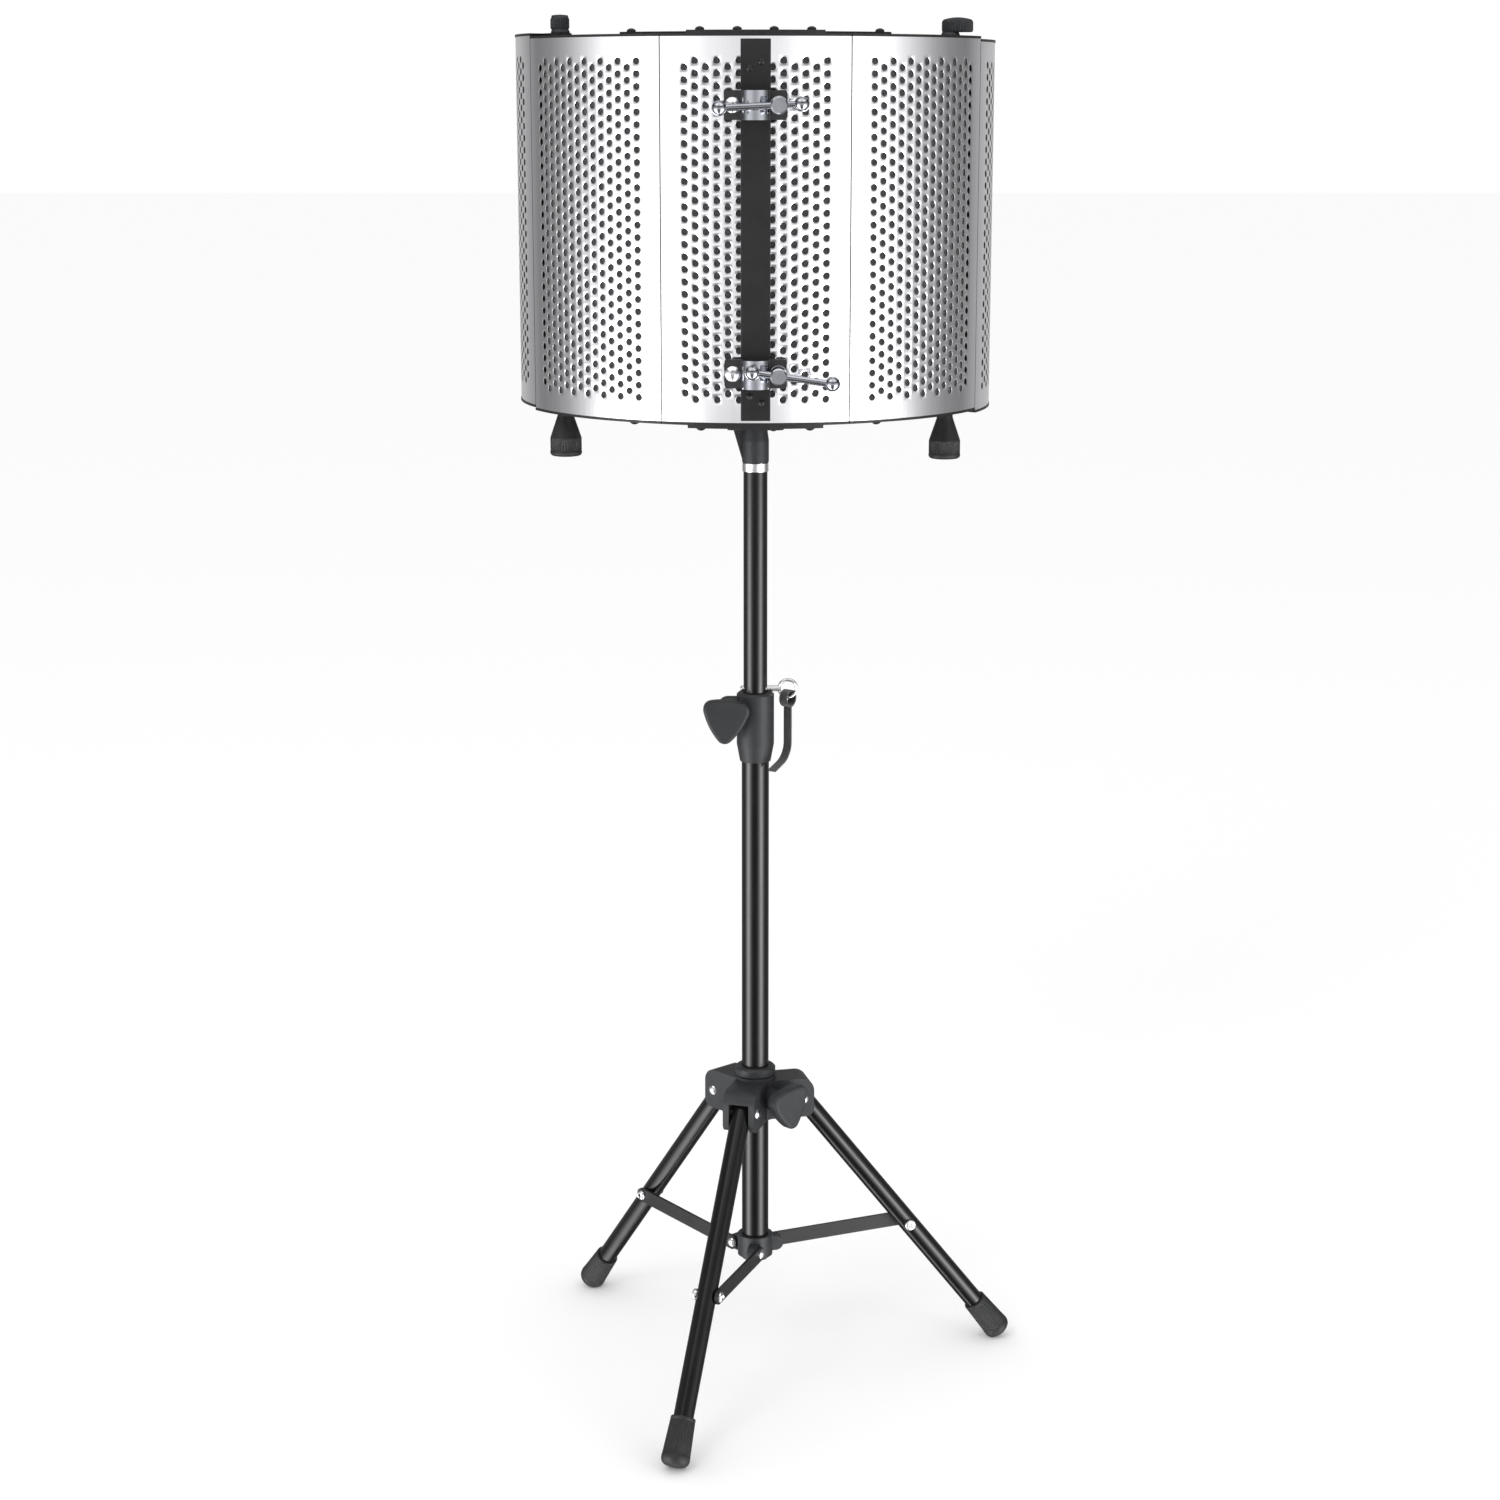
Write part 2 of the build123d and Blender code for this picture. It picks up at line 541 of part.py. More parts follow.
def table_foot(name, side):
    x, y = polar(HINGE_R, side * OUTER_HINGE_ANGLE)
    base = SHIELD_BOTTOM - END_PLATE_THICK - FACE_GAP
    if name == "right":
        base -= END_PLATE_THICK + FACE_GAP
    cone_top = -4.0
    cone_end = -FOOT_HEIGHT * 0.6
    body = lathe([
        (0, 0),
        (FOOT_NECK_R, 0),
        (FOOT_NECK_R, cone_top),
        (FOOT_R, cone_end),
        (FOOT_R, -FOOT_HEIGHT + 2.5),
        (FOOT_R - 2.5, -FOOT_HEIGHT),
        (0, -FOOT_HEIGHT),
    ])
    return Pos(x, y, base) * (body + upright(HINGE_SCREW_R, 0, 0, 0, STUD_LENGTH))


def make_knobs_and_feet():
    for name, side in SIDES.items():
        save(f"{name}_thumb_knob", thumb_knob(name, side))
        save(f"{name}_table_foot", table_foot(name, side))


# ================================================================ mast: socket, lock ring, upper tube, pin
FLANGE = (44.0, 26.0, 2.6)
SOCKET_BORE_DEPTH = 24.0
PIN_ABOVE_COLLAR = 3.0
PIN_SHANK_OUT = 10.5
PIN_LOOP = 7.0
PIN_WIRE_R = 1.3
STRAP_BACK = 16.0              # from the loop's centre back to the strap's free end
STRAP_SIDE = 22.0              # and to the front
STRAP_EYE_R = 5.6
STRAP_BEND_DROP = 40.6         # from the collar's top to where the strap starts to curl


def make_socket():
    top, bottom = SOCKET_TOP, SOCKET_BOTTOM
    width, depth, thick = FLANGE
    flange = Pos(0, 0, top - thick / 2) * Box(width, depth, thick)
    flange = fillet(flange.edges().filter_by(Axis.Z), 4.0)
    barrel = lathe([
        (0, 0),
        (SOCKET_R - 0.8, 0),
        (SOCKET_R, 0.8),
        (SOCKET_R, SOCKET_HEIGHT * 0.6),
        (SOCKET_TOP_R, SOCKET_HEIGHT),
        (0, SOCKET_HEIGHT),
    ])
    foot = bottom + 3
    edge = -FLANGE[0] / 2 + 4
    web = Polyline((-5.0, foot), (-SOCKET_R, foot), (edge, top - 1), (-5.0, top - 1), close=True)
    gusset = extrude(Plane.XZ * make_face(web), amount=1.5, both=True)
    socket = flange + Pos(0, 0, bottom) * barrel + gusset
    socket -= upright(STUD_R + RUNNING, 0, 0, bottom - 1, bottom + SOCKET_BORE_DEPTH)
    save("shield_socket", socket)


def make_mast():
    ring_bottom = UPPER_TUBE_TOP + FACE_GAP
    ring = lathe([
        (STUD_R + RUNNING, ring_bottom),
        (LOCK_RING_R, ring_bottom),
        (LOCK_RING_R, ring_bottom + LOCK_RING_HEIGHT),
        (STUD_R + RUNNING, ring_bottom + LOCK_RING_HEIGHT),
    ])
    save("lock_ring", ring)
    tube_bottom = UPPER_TUBE_TOP - UPPER_TUBE_LENGTH
    bore_r = UPPER_TUBE_R - TUBE_WALL
    tube = upright(UPPER_TUBE_R, 0, 0, tube_bottom, UPPER_TUBE_TOP)
    tube -= upright(bore_r, 0, 0, tube_bottom - 1, UPPER_TUBE_TOP + 1)
    pin_z = COLLAR_TOP + PIN_ABOVE_COLLAR
    tube -= rod(PIN_R + RUNNING, (-UPPER_TUBE_R * 2, 0, pin_z), (UPPER_TUBE_R * 2, 0, pin_z))
    save("upper_tube", tube)
    plug_bottom = UPPER_TUBE_TOP - 24
    stud_top = UPPER_TUBE_TOP + LOCK_RING_HEIGHT + SOCKET_BORE_DEPTH - 2
    save("mast_stud", upright(bore_r, 0, 0, plug_bottom, UPPER_TUBE_TOP)
         + upright(STUD_R, 0, 0, UPPER_TUBE_TOP, stud_top))


def pin_loop_x():
    return UPPER_TUBE_R + PIN_SHANK_OUT + PIN_LOOP - 1


def make_pin():
    """Bent wire pin: a straight shank through the mast, turned back into a pull loop."""
    pin_z = COLLAR_TOP + PIN_ABOVE_COLLAR
    shank = rod(PIN_R, (-PIN_REACH, 0, pin_z), (UPPER_TUBE_R + PIN_SHANK_OUT, 0, pin_z))
    shank = chamfer(shank.edges().sort_by(Axis.X)[0], 1.2)
    loop = Pos(pin_loop_x(), 0, pin_z) * Rot(90, 0, 0) * Torus(PIN_LOOP, PIN_WIRE_R)
    save("lock_pin", shank + loop)


def make_strap():
    """Webbing tether: an eye round the pin's loop, a straight drop and a curl under the collar."""
    pin_z = COLLAR_TOP + PIN_ABOVE_COLLAR
    start = (pin_loop_x(), 0.0)
    away = hypot(STRAP_BACK, STRAP_SIDE)
    heading = (-STRAP_BACK, -STRAP_SIDE, 0)
    side = Vector(*heading).cross(Vector(0, 0, 1))
    plane = Plane(origin=(start[0], start[1], 0), x_dir=heading, z_dir=side)
    eye_z = pin_z - PIN_LOOP - 1.0
    eye_r = STRAP_EYE_R + STRAP_THICK
    drop = Line((0, eye_z - eye_r + 0.3), (0, (COLLAR_TOP - STRAP_BEND_DROP)))
    curl = JernArc((0, (COLLAR_TOP - STRAP_BEND_DROP)), (0, -1), away * 0.62, 68)
    tail = Line(curl @ 1, (curl @ 1) + (curl % 1) * (away * 0.45))
    band = sweep(Plane((0, eye_z - eye_r + 0.3, 0), x_dir=(1, 0, 0), z_dir=(0, -1, 0))
                 * Rectangle(STRAP_THICK, STRAP_WIDTH), path=Curve() + [drop, curl, tail])
    eye = Pos(0, eye_z, 0) * (Cylinder(eye_r, STRAP_WIDTH) - Cylinder(STRAP_EYE_R, STRAP_WIDTH))
    save("pin_strap", plane * (band + eye))


# ================================================================ height collar and its knob
EAR_LENGTH = 15.0
EAR_THICK = 6.0
EAR_GAP = 2.4
EAR_HEIGHT = 26.0
KNOB_SCREW_R = 3.0
COLLAR_KNOB_X = -COLLAR_R - 8.5
COLLAR_KNOB_Z = COLLAR_TOP - 17.6
COLLAR_FOOT_R = LOWER_TUBE_R + 1.4
BUSH_R = LOWER_TUBE_R + 2.0
NECK_R = 6.0


def tri_knob(turn):
    """Rounded three-cornered grip with its face on +Z and its back at z = 0."""
    corners = [(TRI_KNOB_R * cos(radians(a)), TRI_KNOB_R * sin(radians(a))) for a in (30, 150, 270)]
    edges = []
    for i in range(3):
        edges.append(RadiusArc(corners[i], corners[(i + 1) % 3], -TRI_KNOB_R * 2.6))
    grip = extrude(make_face(edges), amount=TRI_KNOB_THICK)
    grip = fillet(grip.edges().filter_by(Axis.Z), TRI_KNOB_R * 0.3)
    grip = fillet(grip.faces().sort_by(Axis.Z)[-1].edges(), TRI_KNOB_THICK * 0.3)
    return Rot(0, 0, turn) * grip


def make_collar():
    body = lathe([
        (LOWER_TUBE_R, COLLAR_BOTTOM),
        (COLLAR_FOOT_R, COLLAR_BOTTOM),
        (COLLAR_R, COLLAR_BOTTOM + 14),
        (COLLAR_R, COLLAR_TOP - 1.5),
        (COLLAR_R - 1.5, COLLAR_TOP),
        (BUSH_R, COLLAR_TOP),
        (BUSH_R, LOWER_TUBE_TOP),
        (LOWER_TUBE_R, LOWER_TUBE_TOP),
    ])
    ear_inner = -BUSH_R - 0.5
    ear_length = COLLAR_R + EAR_LENGTH + ear_inner
    ears = Pos(ear_inner - ear_length / 2, 0, COLLAR_KNOB_Z) * Box(
        ear_length, EAR_GAP + EAR_THICK * 2, EAR_HEIGHT)
    ears = fillet(ears.edges().filter_by(Axis.Y).group_by(Axis.X)[0], 8.0)
    collar = body + ears
    split_length = COLLAR_R + EAR_LENGTH
    collar -= Pos(-split_length / 2 - LOWER_TUBE_R + 2, 0, (COLLAR_BOTTOM + COLLAR_TOP) / 2) * Box(
        split_length, EAR_GAP, COLLAR_TOP - COLLAR_BOTTOM + 2)
    x, z = COLLAR_KNOB_X, COLLAR_KNOB_Z
    collar -= rod(KNOB_SCREW_R + RUNNING, (x, -20, z), (x, 20, z))
    save("height_collar", collar)
    bush = upright(BUSH_R, 0, 0, LOWER_TUBE_TOP, COLLAR_TOP)
    save("collar_bush", bush - upright(UPPER_TUBE_R + RUNNING, 0, 0, LOWER_TUBE_TOP - 1, COLLAR_TOP + 1))


def make_height_knob():
    ear_front = -EAR_GAP / 2 - EAR_THICK
    grip_back = -COLLAR_R - 0.8
    x, z = COLLAR_KNOB_X, COLLAR_KNOB_Z
    screw = rod(KNOB_SCREW_R, (x, grip_back, z), (x, -ear_front + 2, z))
    neck = rod(NECK_R, (x, ear_front - FACE_GAP, z), (x, grip_back, z))
    save("height_knob", facing(x, grip_back, z) * tri_knob(-4) + neck + screw)


# ================================================================ column and strut collar
STRUT_COLLAR_HEIGHT = 18.0
STRUT_SIDE = LEG_R + 0.4 + STRUT_THICK / 2     # struts lie beside their legs
STRUT_CLEAR = 0.148            # from the collar's round side to a strut's inner end
STRUT_COLLAR_R = hypot(STRUT_PIVOT_RADIUS - STRUT_WIDTH / 2, STRUT_SIDE - STRUT_THICK / 2) - STRUT_CLEAR
STRUT_LUG = 12.5
BOLT_HEAD_R = 4.2
BOLT_HEAD_HEIGHT = 2.4
PLUG_RIM = 3.0


def around(direction):
    """Frame of one tripod side: X outwards, Y along the pivots, Z up."""
    return Rot(0, 0, direction)


def make_column():
    tube = upright(LOWER_TUBE_R, 0, 0, LOWER_TUBE_BOTTOM, LOWER_TUBE_TOP)
    bore_r = LOWER_TUBE_R - TUBE_WALL
    save("lower_tube", tube - upright(bore_r, 0, 0, LOWER_TUBE_BOTTOM - 1, LOWER_TUBE_TOP + 1))
    plug = upright(LOWER_TUBE_R, 0, 0, LOWER_TUBE_BOTTOM - PLUG_RIM, LOWER_TUBE_BOTTOM)
    save("tube_end_plug", plug + upright(bore_r, 0, 0, LOWER_TUBE_BOTTOM, LOWER_TUBE_BOTTOM + 14))
    collar = upright(STRUT_COLLAR_R, 0, 0, LOWER_TUBE_BOTTOM, LOWER_TUBE_BOTTOM + STRUT_COLLAR_HEIGHT)
    lug_side = STRUT_SIDE - STRUT_THICK / 2 - FACE_GAP
    bolts = []
    for direction in LEG_DIRECTIONS.values():
        reach = STRUT_PIVOT_RADIUS
        lug = Pos(reach / 2, lug_side / 2, STRUT_PIVOT_Z) * Box(reach, lug_side, STRUT_LUG)
        lug += rod(STRUT_LUG / 2, (reach, 0, STRUT_PIVOT_Z), (reach, lug_side, STRUT_PIVOT_Z))
        collar += around(direction) * lug
    for direction in LEG_DIRECTIONS.values():
        pin = rod(PIVOT_BOLT_R, (STRUT_PIVOT_RADIUS, 1, STRUT_PIVOT_Z),
                  (STRUT_PIVOT_RADIUS, STRUT_SIDE + STRUT_THICK / 2 + FACE_GAP, STRUT_PIVOT_Z))
        collar -= around(direction) * pin
        head_y = STRUT_SIDE + STRUT_THICK / 2 + FACE_GAP
        head = Plane(origin=(STRUT_PIVOT_RADIUS, head_y, STRUT_PIVOT_Z), x_dir=(1, 0, 0), z_dir=(0, 1, 0))
        bolts.append(around(direction) * (pin + head * dome(BOLT_HEAD_R, BOLT_HEAD_HEIGHT)))
    collar -= upright(LOWER_TUBE_R, 0, 0, 0, LOWER_TUBE_TOP)
    save("strut_collar", collar)
    save("strut_collar_bolts", *bolts)


# ================================================================ tripod hub
LUG_GAP = LEG_R + 0.4
LUG_REACH = LEG_PIVOT_RADIUS + 9.0
LUG_ROOF_Z = LEG_PIVOT_Z + LEG_R + 1.0
HUB_KNOB_DIRECTION = -47.0
HUB_KNOB_Z = HUB_BOTTOM + 19.0
HUB_BOSS_REACH = HUB_R + 13.0
HUB_GRIP_BACK = HUB_BOSS_REACH + 6.0
SLIDE_CLEAR = 0.08


def hub_lug():
    """Fork of two cheeks and a roof that holds the top of a leg."""
    outside = LUG_GAP + LUG_CHEEK
    height = HUB_TOP - 3.0 - HUB_BOTTOM
    block = Pos(LUG_REACH / 2, 0, HUB_BOTTOM + height / 2) * Box(LUG_REACH, outside * 2, height)
    block = fillet(block.edges().filter_by(Axis.Y).group_by(Axis.X)[-1].sort_by(Axis.Z)[-1], 11.0)
    block = fillet(block.edges().filter_by(Axis.Y).group_by(Axis.X)[-1].sort_by(Axis.Z)[0], 7.0)
    slot_inner = LEG_PIVOT_RADIUS - LEG_R - 1.2
    slot_height = LUG_ROOF_Z - HUB_BOTTOM + 5
    slot = Pos(slot_inner + 20, 0, LUG_ROOF_Z - slot_height / 2) * Box(40, LUG_GAP * 2, slot_height)
    return block - slot - pivot_shank(outside + 1)


def pivot_shank(half_length):
    start = (LEG_PIVOT_RADIUS, -half_length, LEG_PIVOT_Z)
    return rod(PIVOT_BOLT_R, start, (LEG_PIVOT_RADIUS, half_length, LEG_PIVOT_Z))


def pivot_bolt():
    outside = LUG_GAP + LUG_CHEEK
    shank = pivot_shank(outside)
    for way in (-1, 1):
        origin = (LEG_PIVOT_RADIUS, way * outside, LEG_PIVOT_Z)
        place = Plane(origin=origin, x_dir=(1, 0, 0), z_dir=(0, way, 0))
        shank += place * dome(BOLT_HEAD_R, BOLT_HEAD_HEIGHT)
    return shank


def make_hub():
    hub = lathe([(0, HUB_BOTTOM), (HUB_R, HUB_BOTTOM), (HUB_R, HUB_TOP), (0, HUB_TOP)])
    bolts = []
    for direction in LEG_DIRECTIONS.values():
        hub += around(direction) * hub_lug()
        bolts.append(around(direction) * pivot_bolt())
    hub += around(HUB_KNOB_DIRECTION) * rod(9.0, (10, 0, HUB_KNOB_Z), (HUB_BOSS_REACH, 0, HUB_KNOB_Z))
    hub -= upright(LOWER_TUBE_R + SLIDE_CLEAR, 0, 0, HUB_BOTTOM - 1, HUB_TOP + 1)
    hub -= around(HUB_KNOB_DIRECTION) * rod(KNOB_SCREW_R + RUNNING, (5, 0, HUB_KNOB_Z), (50, 0, HUB_KNOB_Z))
    save("tripod_hub", hub)
    save("leg_pivot_bolts", *bolts)
    ring = lathe([
        (LOWER_TUBE_R + SLIDE_CLEAR, HUB_TOP),
        (HUB_R - 1.0, HUB_TOP),
        (HUB_R - 0.4, HUB_TOP + 1.5),
        (HUB_R - 0.4, HUB_RING_TOP - 1.5),
        (HUB_R - 2.0, HUB_RING_TOP),
        (LOWER_TUBE_R + SLIDE_CLEAR, HUB_RING_TOP),
    ])
    save("hub_ring", ring)
    grip_place = Plane(origin=(HUB_GRIP_BACK, 0, HUB_KNOB_Z), x_dir=(0, 1, 0), z_dir=(1, 0, 0))
    neck = rod(NECK_R, (HUB_BOSS_REACH + FACE_GAP, 0, HUB_KNOB_Z), (HUB_GRIP_BACK, 0, HUB_KNOB_Z))
    screw = rod(KNOB_SCREW_R, (LOWER_TUBE_R + 0.5, 0, HUB_KNOB_Z), (HUB_GRIP_BACK, 0, HUB_KNOB_Z))
    save("hub_knob", around(HUB_KNOB_DIRECTION) * (grip_place * tri_knob(8) + neck + screw))


# ================================================================ legs and struts
LEG_LEAN = atan2(FOOT_RADIUS - LEG_PIVOT_RADIUS, LEG_PIVOT_Z)
# Height of the middle of a cap's end, with the cap's round edge resting on the floor.
FOOT_END_Z = CAP_ROUND * (1 - cos(LEG_LEAN)) + (CAP_R - CAP_ROUND) * sin(LEG_LEAN) - CAP_FLAT_DEPTH
CAP_WALL_END = 5.0


def leg_frame():
    """Frame along a leg, in its tripod side: Z runs from the pivot to the foot, Y along the pivot."""
    run = Vector(FOOT_RADIUS - LEG_PIVOT_RADIUS, 0, FOOT_END_Z - LEG_PIVOT_Z)
    return Plane(origin=(LEG_PIVOT_RADIUS, 0, LEG_PIVOT_Z), x_dir=(run.Z, 0, -run.X), z_dir=run)


def leg_length():
    return hypot(FOOT_RADIUS - LEG_PIVOT_RADIUS, FOOT_END_Z - LEG_PIVOT_Z)


def leg_tube():
    end = leg_length() - CAP_WALL_END
    tube = upright(LEG_R, 0, 0, -LEG_R, end) & (
        upright(LEG_R, 0, 0, 0, end) + rod(LEG_R, (0, -LEG_R, 0), (0, LEG_R, 0)))
    tube -= upright(LEG_R - LEG_WALL, 0, 0, LEG_R + 3, end + 1)
    tube -= rod(PIVOT_BOLT_R + RUNNING, (0, -LEG_R - 1, 0), (0, LEG_R + 1, 0))
    joint = leg_length() * STRUT_LEG_SHARE
    nut = Plane(origin=(0, -LEG_R + 0.6, joint), x_dir=(1, 0, 0), z_dir=(0, -1, 0))
    from_seat = (Align.CENTER, Align.CENTER, Align.MIN)
    return tube + nut * Cylinder(BOLT_HEAD_R, BOLT_HEAD_HEIGHT + 0.6, align=from_seat)


def leg_cap():
    end = leg_length()
    cap = lathe([
        (0, end - CAP_LENGTH),
        (CAP_TOP_R, end - CAP_LENGTH),
        (CAP_R, end - CAP_ROUND),
        (CAP_R, end),
        (0, end),
    ])
    cap = fillet(cap.faces().sort_by(Axis.Z)[-1].edges(), CAP_ROUND)
    return cap - upright(LEG_R, 0, 0, end - CAP_LENGTH - 1, end - CAP_WALL_END)


def strut_ends():
    joint = leg_frame().from_local_coords(Vector(0, 0, leg_length() * STRUT_LEG_SHARE))
    return (STRUT_PIVOT_RADIUS, STRUT_PIVOT_Z), (joint.X, joint.Z)


def strut():
    (x0, z0), (x1, z1) = strut_ends()
    length = hypot(x1 - x0, z1 - z0)
    bar = extrude(SlotCenterToCenter(length, STRUT_WIDTH), amount=STRUT_THICK / 2, both=True)
    bar -= Pos(-length / 2, 0, 0) * Cylinder(PIVOT_BOLT_R + RUNNING, STRUT_THICK * 2)
    bar += Pos(length / 2, 0, STRUT_THICK / 2) * dome(BOLT_HEAD_R, BOLT_HEAD_HEIGHT)
    place = Plane(
        origin=((x0 + x1) / 2, STRUT_SIDE, (z0 + z1) / 2),
        x_dir=(x1 - x0, 0, z1 - z0),
        z_dir=(0, 1, 0),
    )
    return place * bar


def make_legs():
    floor_block = Pos(FOOT_RADIUS, 0, -50) * Box(200, 200, 100)
    for name, direction in LEG_DIRECTIONS.items():
        side = around(direction)
        save(f"{name}_leg", side * (leg_frame() * leg_tube()))
        save(f"{name}_leg_cap", side * (leg_frame() * leg_cap() - floor_block))
        save(f"{name}_strut", side * strut())


os.makedirs("parts", exist_ok=True)
make_panels()
make_hinge_links()
make_stiffeners()
make_bar()
make_clamps()
make_knobs_and_feet()
make_socket()
make_mast()
make_pin()
make_strap()
make_collar()
make_height_knob()
make_column()
make_hub()
make_legs()
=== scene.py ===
"""Looks of the microphone isolation shield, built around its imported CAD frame. Metres throughout."""
import json
import math

import bmesh
import bpy
from mathutils import Matrix, Vector


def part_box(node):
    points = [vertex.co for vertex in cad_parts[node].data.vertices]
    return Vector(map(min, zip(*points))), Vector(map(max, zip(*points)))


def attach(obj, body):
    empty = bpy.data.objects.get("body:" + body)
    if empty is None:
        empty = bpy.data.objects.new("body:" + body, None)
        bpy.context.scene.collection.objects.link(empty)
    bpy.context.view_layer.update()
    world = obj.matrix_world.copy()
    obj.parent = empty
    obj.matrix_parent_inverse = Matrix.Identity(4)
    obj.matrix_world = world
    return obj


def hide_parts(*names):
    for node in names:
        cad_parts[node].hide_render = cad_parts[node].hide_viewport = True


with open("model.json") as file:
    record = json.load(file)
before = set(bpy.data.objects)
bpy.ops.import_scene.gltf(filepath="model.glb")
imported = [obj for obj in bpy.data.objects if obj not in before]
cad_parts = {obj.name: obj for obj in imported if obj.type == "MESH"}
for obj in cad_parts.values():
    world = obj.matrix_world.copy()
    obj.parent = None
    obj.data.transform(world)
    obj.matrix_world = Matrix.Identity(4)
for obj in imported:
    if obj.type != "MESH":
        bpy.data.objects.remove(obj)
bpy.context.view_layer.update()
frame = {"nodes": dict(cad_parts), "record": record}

# ------------------------------------------------------------------ driving sizes
MM = 0.001
SHIELD_RADIUS = 196 * MM
SHEET_THICK = 1.2 * MM
SHEET_SKIN = 0.5 * MM          # depth of the sheet's edge that shows in its holes
HOLE_RADIUS = 2.7 * MM
HOLE_LIP = 0.4 * MM
LIP_DEPTH = 0.16 * MM
HOLE_PITCH = 9.48 * MM         # up a column
COLUMN_PITCH = 8.49 * MM       # from column to column, round the arc
HOLE_COLUMNS = 14
TALL_COLUMN = 28               # holes in a tall column; its neighbours hold one fewer
SADDLE_HALF_WIDTH = 10.5 * MM   # half-round part of a clamp's saddle
FOAM_CELL = 24 * MM
FOAM_TIP = 15 * MM
ARC_CENTRE_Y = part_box("centre_sheet")[0].y + SHIELD_RADIUS

# ------------------------------------------------------------------ camera
CAMERA_BACK = 2.278            # from the column's axis
CAMERA_HEIGHT = 1.0414
CAMERA_SIDE = -0.0043
CAMERA_PITCH = math.radians(12.727)
CAMERA_LENS = 69.6
CAMERA_SENSOR = 36
CAMERA_FAR = 50


def make_camera():
    data = bpy.data.cameras.new("camera")
    data.lens = CAMERA_LENS
    data.sensor_width = CAMERA_SENSOR
    data.clip_end = CAMERA_FAR
    camera = bpy.data.objects.new("camera", data)
    camera.location = (CAMERA_SIDE, -CAMERA_BACK, CAMERA_HEIGHT)
    camera.rotation_euler = (math.pi / 2 - CAMERA_PITCH, 0, 0)
    bpy.context.scene.collection.objects.link(camera)
    bpy.context.scene.camera = camera


# ------------------------------------------------------------------ light and floor
FLOOR_SIZE = 60
FLOOR_DROP = 0.2 * MM          # keeps the floor clear of the caps' flat undersides
LIGHT_TARGET = (0, 0, 0.7)
KEY_WATTS = 22
FILL_WATTS = 9


def area_light(name, place, size, power):
    data = bpy.data.lights.new(name, "AREA")
    data.shape = "RECTANGLE"
    data.size, data.size_y = size
    data.energy = power
    light = bpy.data.objects.new(name, data)
    light.location = place
    direction = Vector(LIGHT_TARGET) - Vector(place)
    light.rotation_euler = direction.to_track_quat("-Z", "Y").to_euler()
    bpy.context.scene.collection.objects.link(light)


def make_world():
    world = bpy.data.worlds.new("studio")
    bpy.context.scene.world = world
    world.use_nodes = True
    background = world.node_tree.nodes["Background"]
    background.inputs["Color"].default_value = (1.0, 1.0, 1.0, 1)
    background.inputs["Strength"].default_value = 1.0
    bpy.context.scene.view_settings.view_transform = "Standard"


def make_floor():
    bpy.ops.mesh.primitive_plane_add(size=FLOOR_SIZE, location=(0, 0, -FLOOR_DROP))
    floor = bpy.context.object
    floor.name = "studio_floor"
    floor.data.materials.append(plain_floor())
    floor.visible_glossy = False


def make_lights():
    area_light("key", (-1.6, -2.6, 3.0), (1.4, 1.4), KEY_WATTS)
    area_light("fill", (2.2, -2.2, 1.8), (1.2, 1.8), FILL_WATTS)


# Brightness of the studio round the object, by the share of a half turn from the front: the
# soft walls at the shield's height, and the two strip lamps that stand below it.
STUDIO_WALLS = (
    (0.0, 0.92), (0.10, 1.12), (0.17, 1.45), (0.33, 1.6), (0.39, 1.35), (0.44, 1.0), (0.49, 0.70),
    (0.545, 0.44), (0.605, 0.29), (0.68, 0.23), (0.75, 0.40), (0.82, 0.52), (1.0, 0.62),
)
STUDIO_STRIPS = (
    (0.0, 0.25), (0.09, 0.4), (0.16, 2.0), (0.23, 8.0), (0.31, 18.0), (0.39, 8.0), (0.46, 2.0),
    (0.53, 0.4), (1.0, 0.35),
)
STRIP_TOP = (0.42, 0.455)      # the strips fade into the walls over this share of the rise
STUDIO_TURN = 4                # degrees by which the studio's lamps are turned to the right
# And by the share of the way from straight down to straight up.
STUDIO_RISE = (
    (0.0, 0.4), (0.3, 0.9), (0.56, 1.0), (0.62, 0.6), (0.68, 0.25), (0.80, 0.2), (0.86, 1.6), (1.0, 1.6),
)
STUDIO_UNIT = 20.0             # the ramps hold brightness in this unit, since they end at 1
STUDIO_RADIUS = 3.0
STUDIO_CENTRE = (0, 0, 0.75)


def studio_ramp(tree, source, stops):
    """Colour ramp over 0 to 1, in studio units, so that it can hold lamps brighter than white."""
    ramp = tree.nodes.new("ShaderNodeValToRGB")
    elements = ramp.color_ramp.elements
    while len(elements) < len(stops):
        elements.new(0.5)
    for element, (place, value) in zip(elements, stops):
        element.position = place
        shade = value / STUDIO_UNIT
        element.color = (shade, shade, shade, 1)
    tree.links.new(source, ramp.inputs["Fac"])
    return ramp.outputs["Color"]


def math_node(tree, operation, *values):
    made = tree.nodes.new("ShaderNodeMath")
    made.operation = operation
    for socket, value in zip(made.inputs, values):
        if isinstance(value, (int, float)):
            socket.default_value = value
        else:
            tree.links.new(value, socket)
    return made.outputs[0]


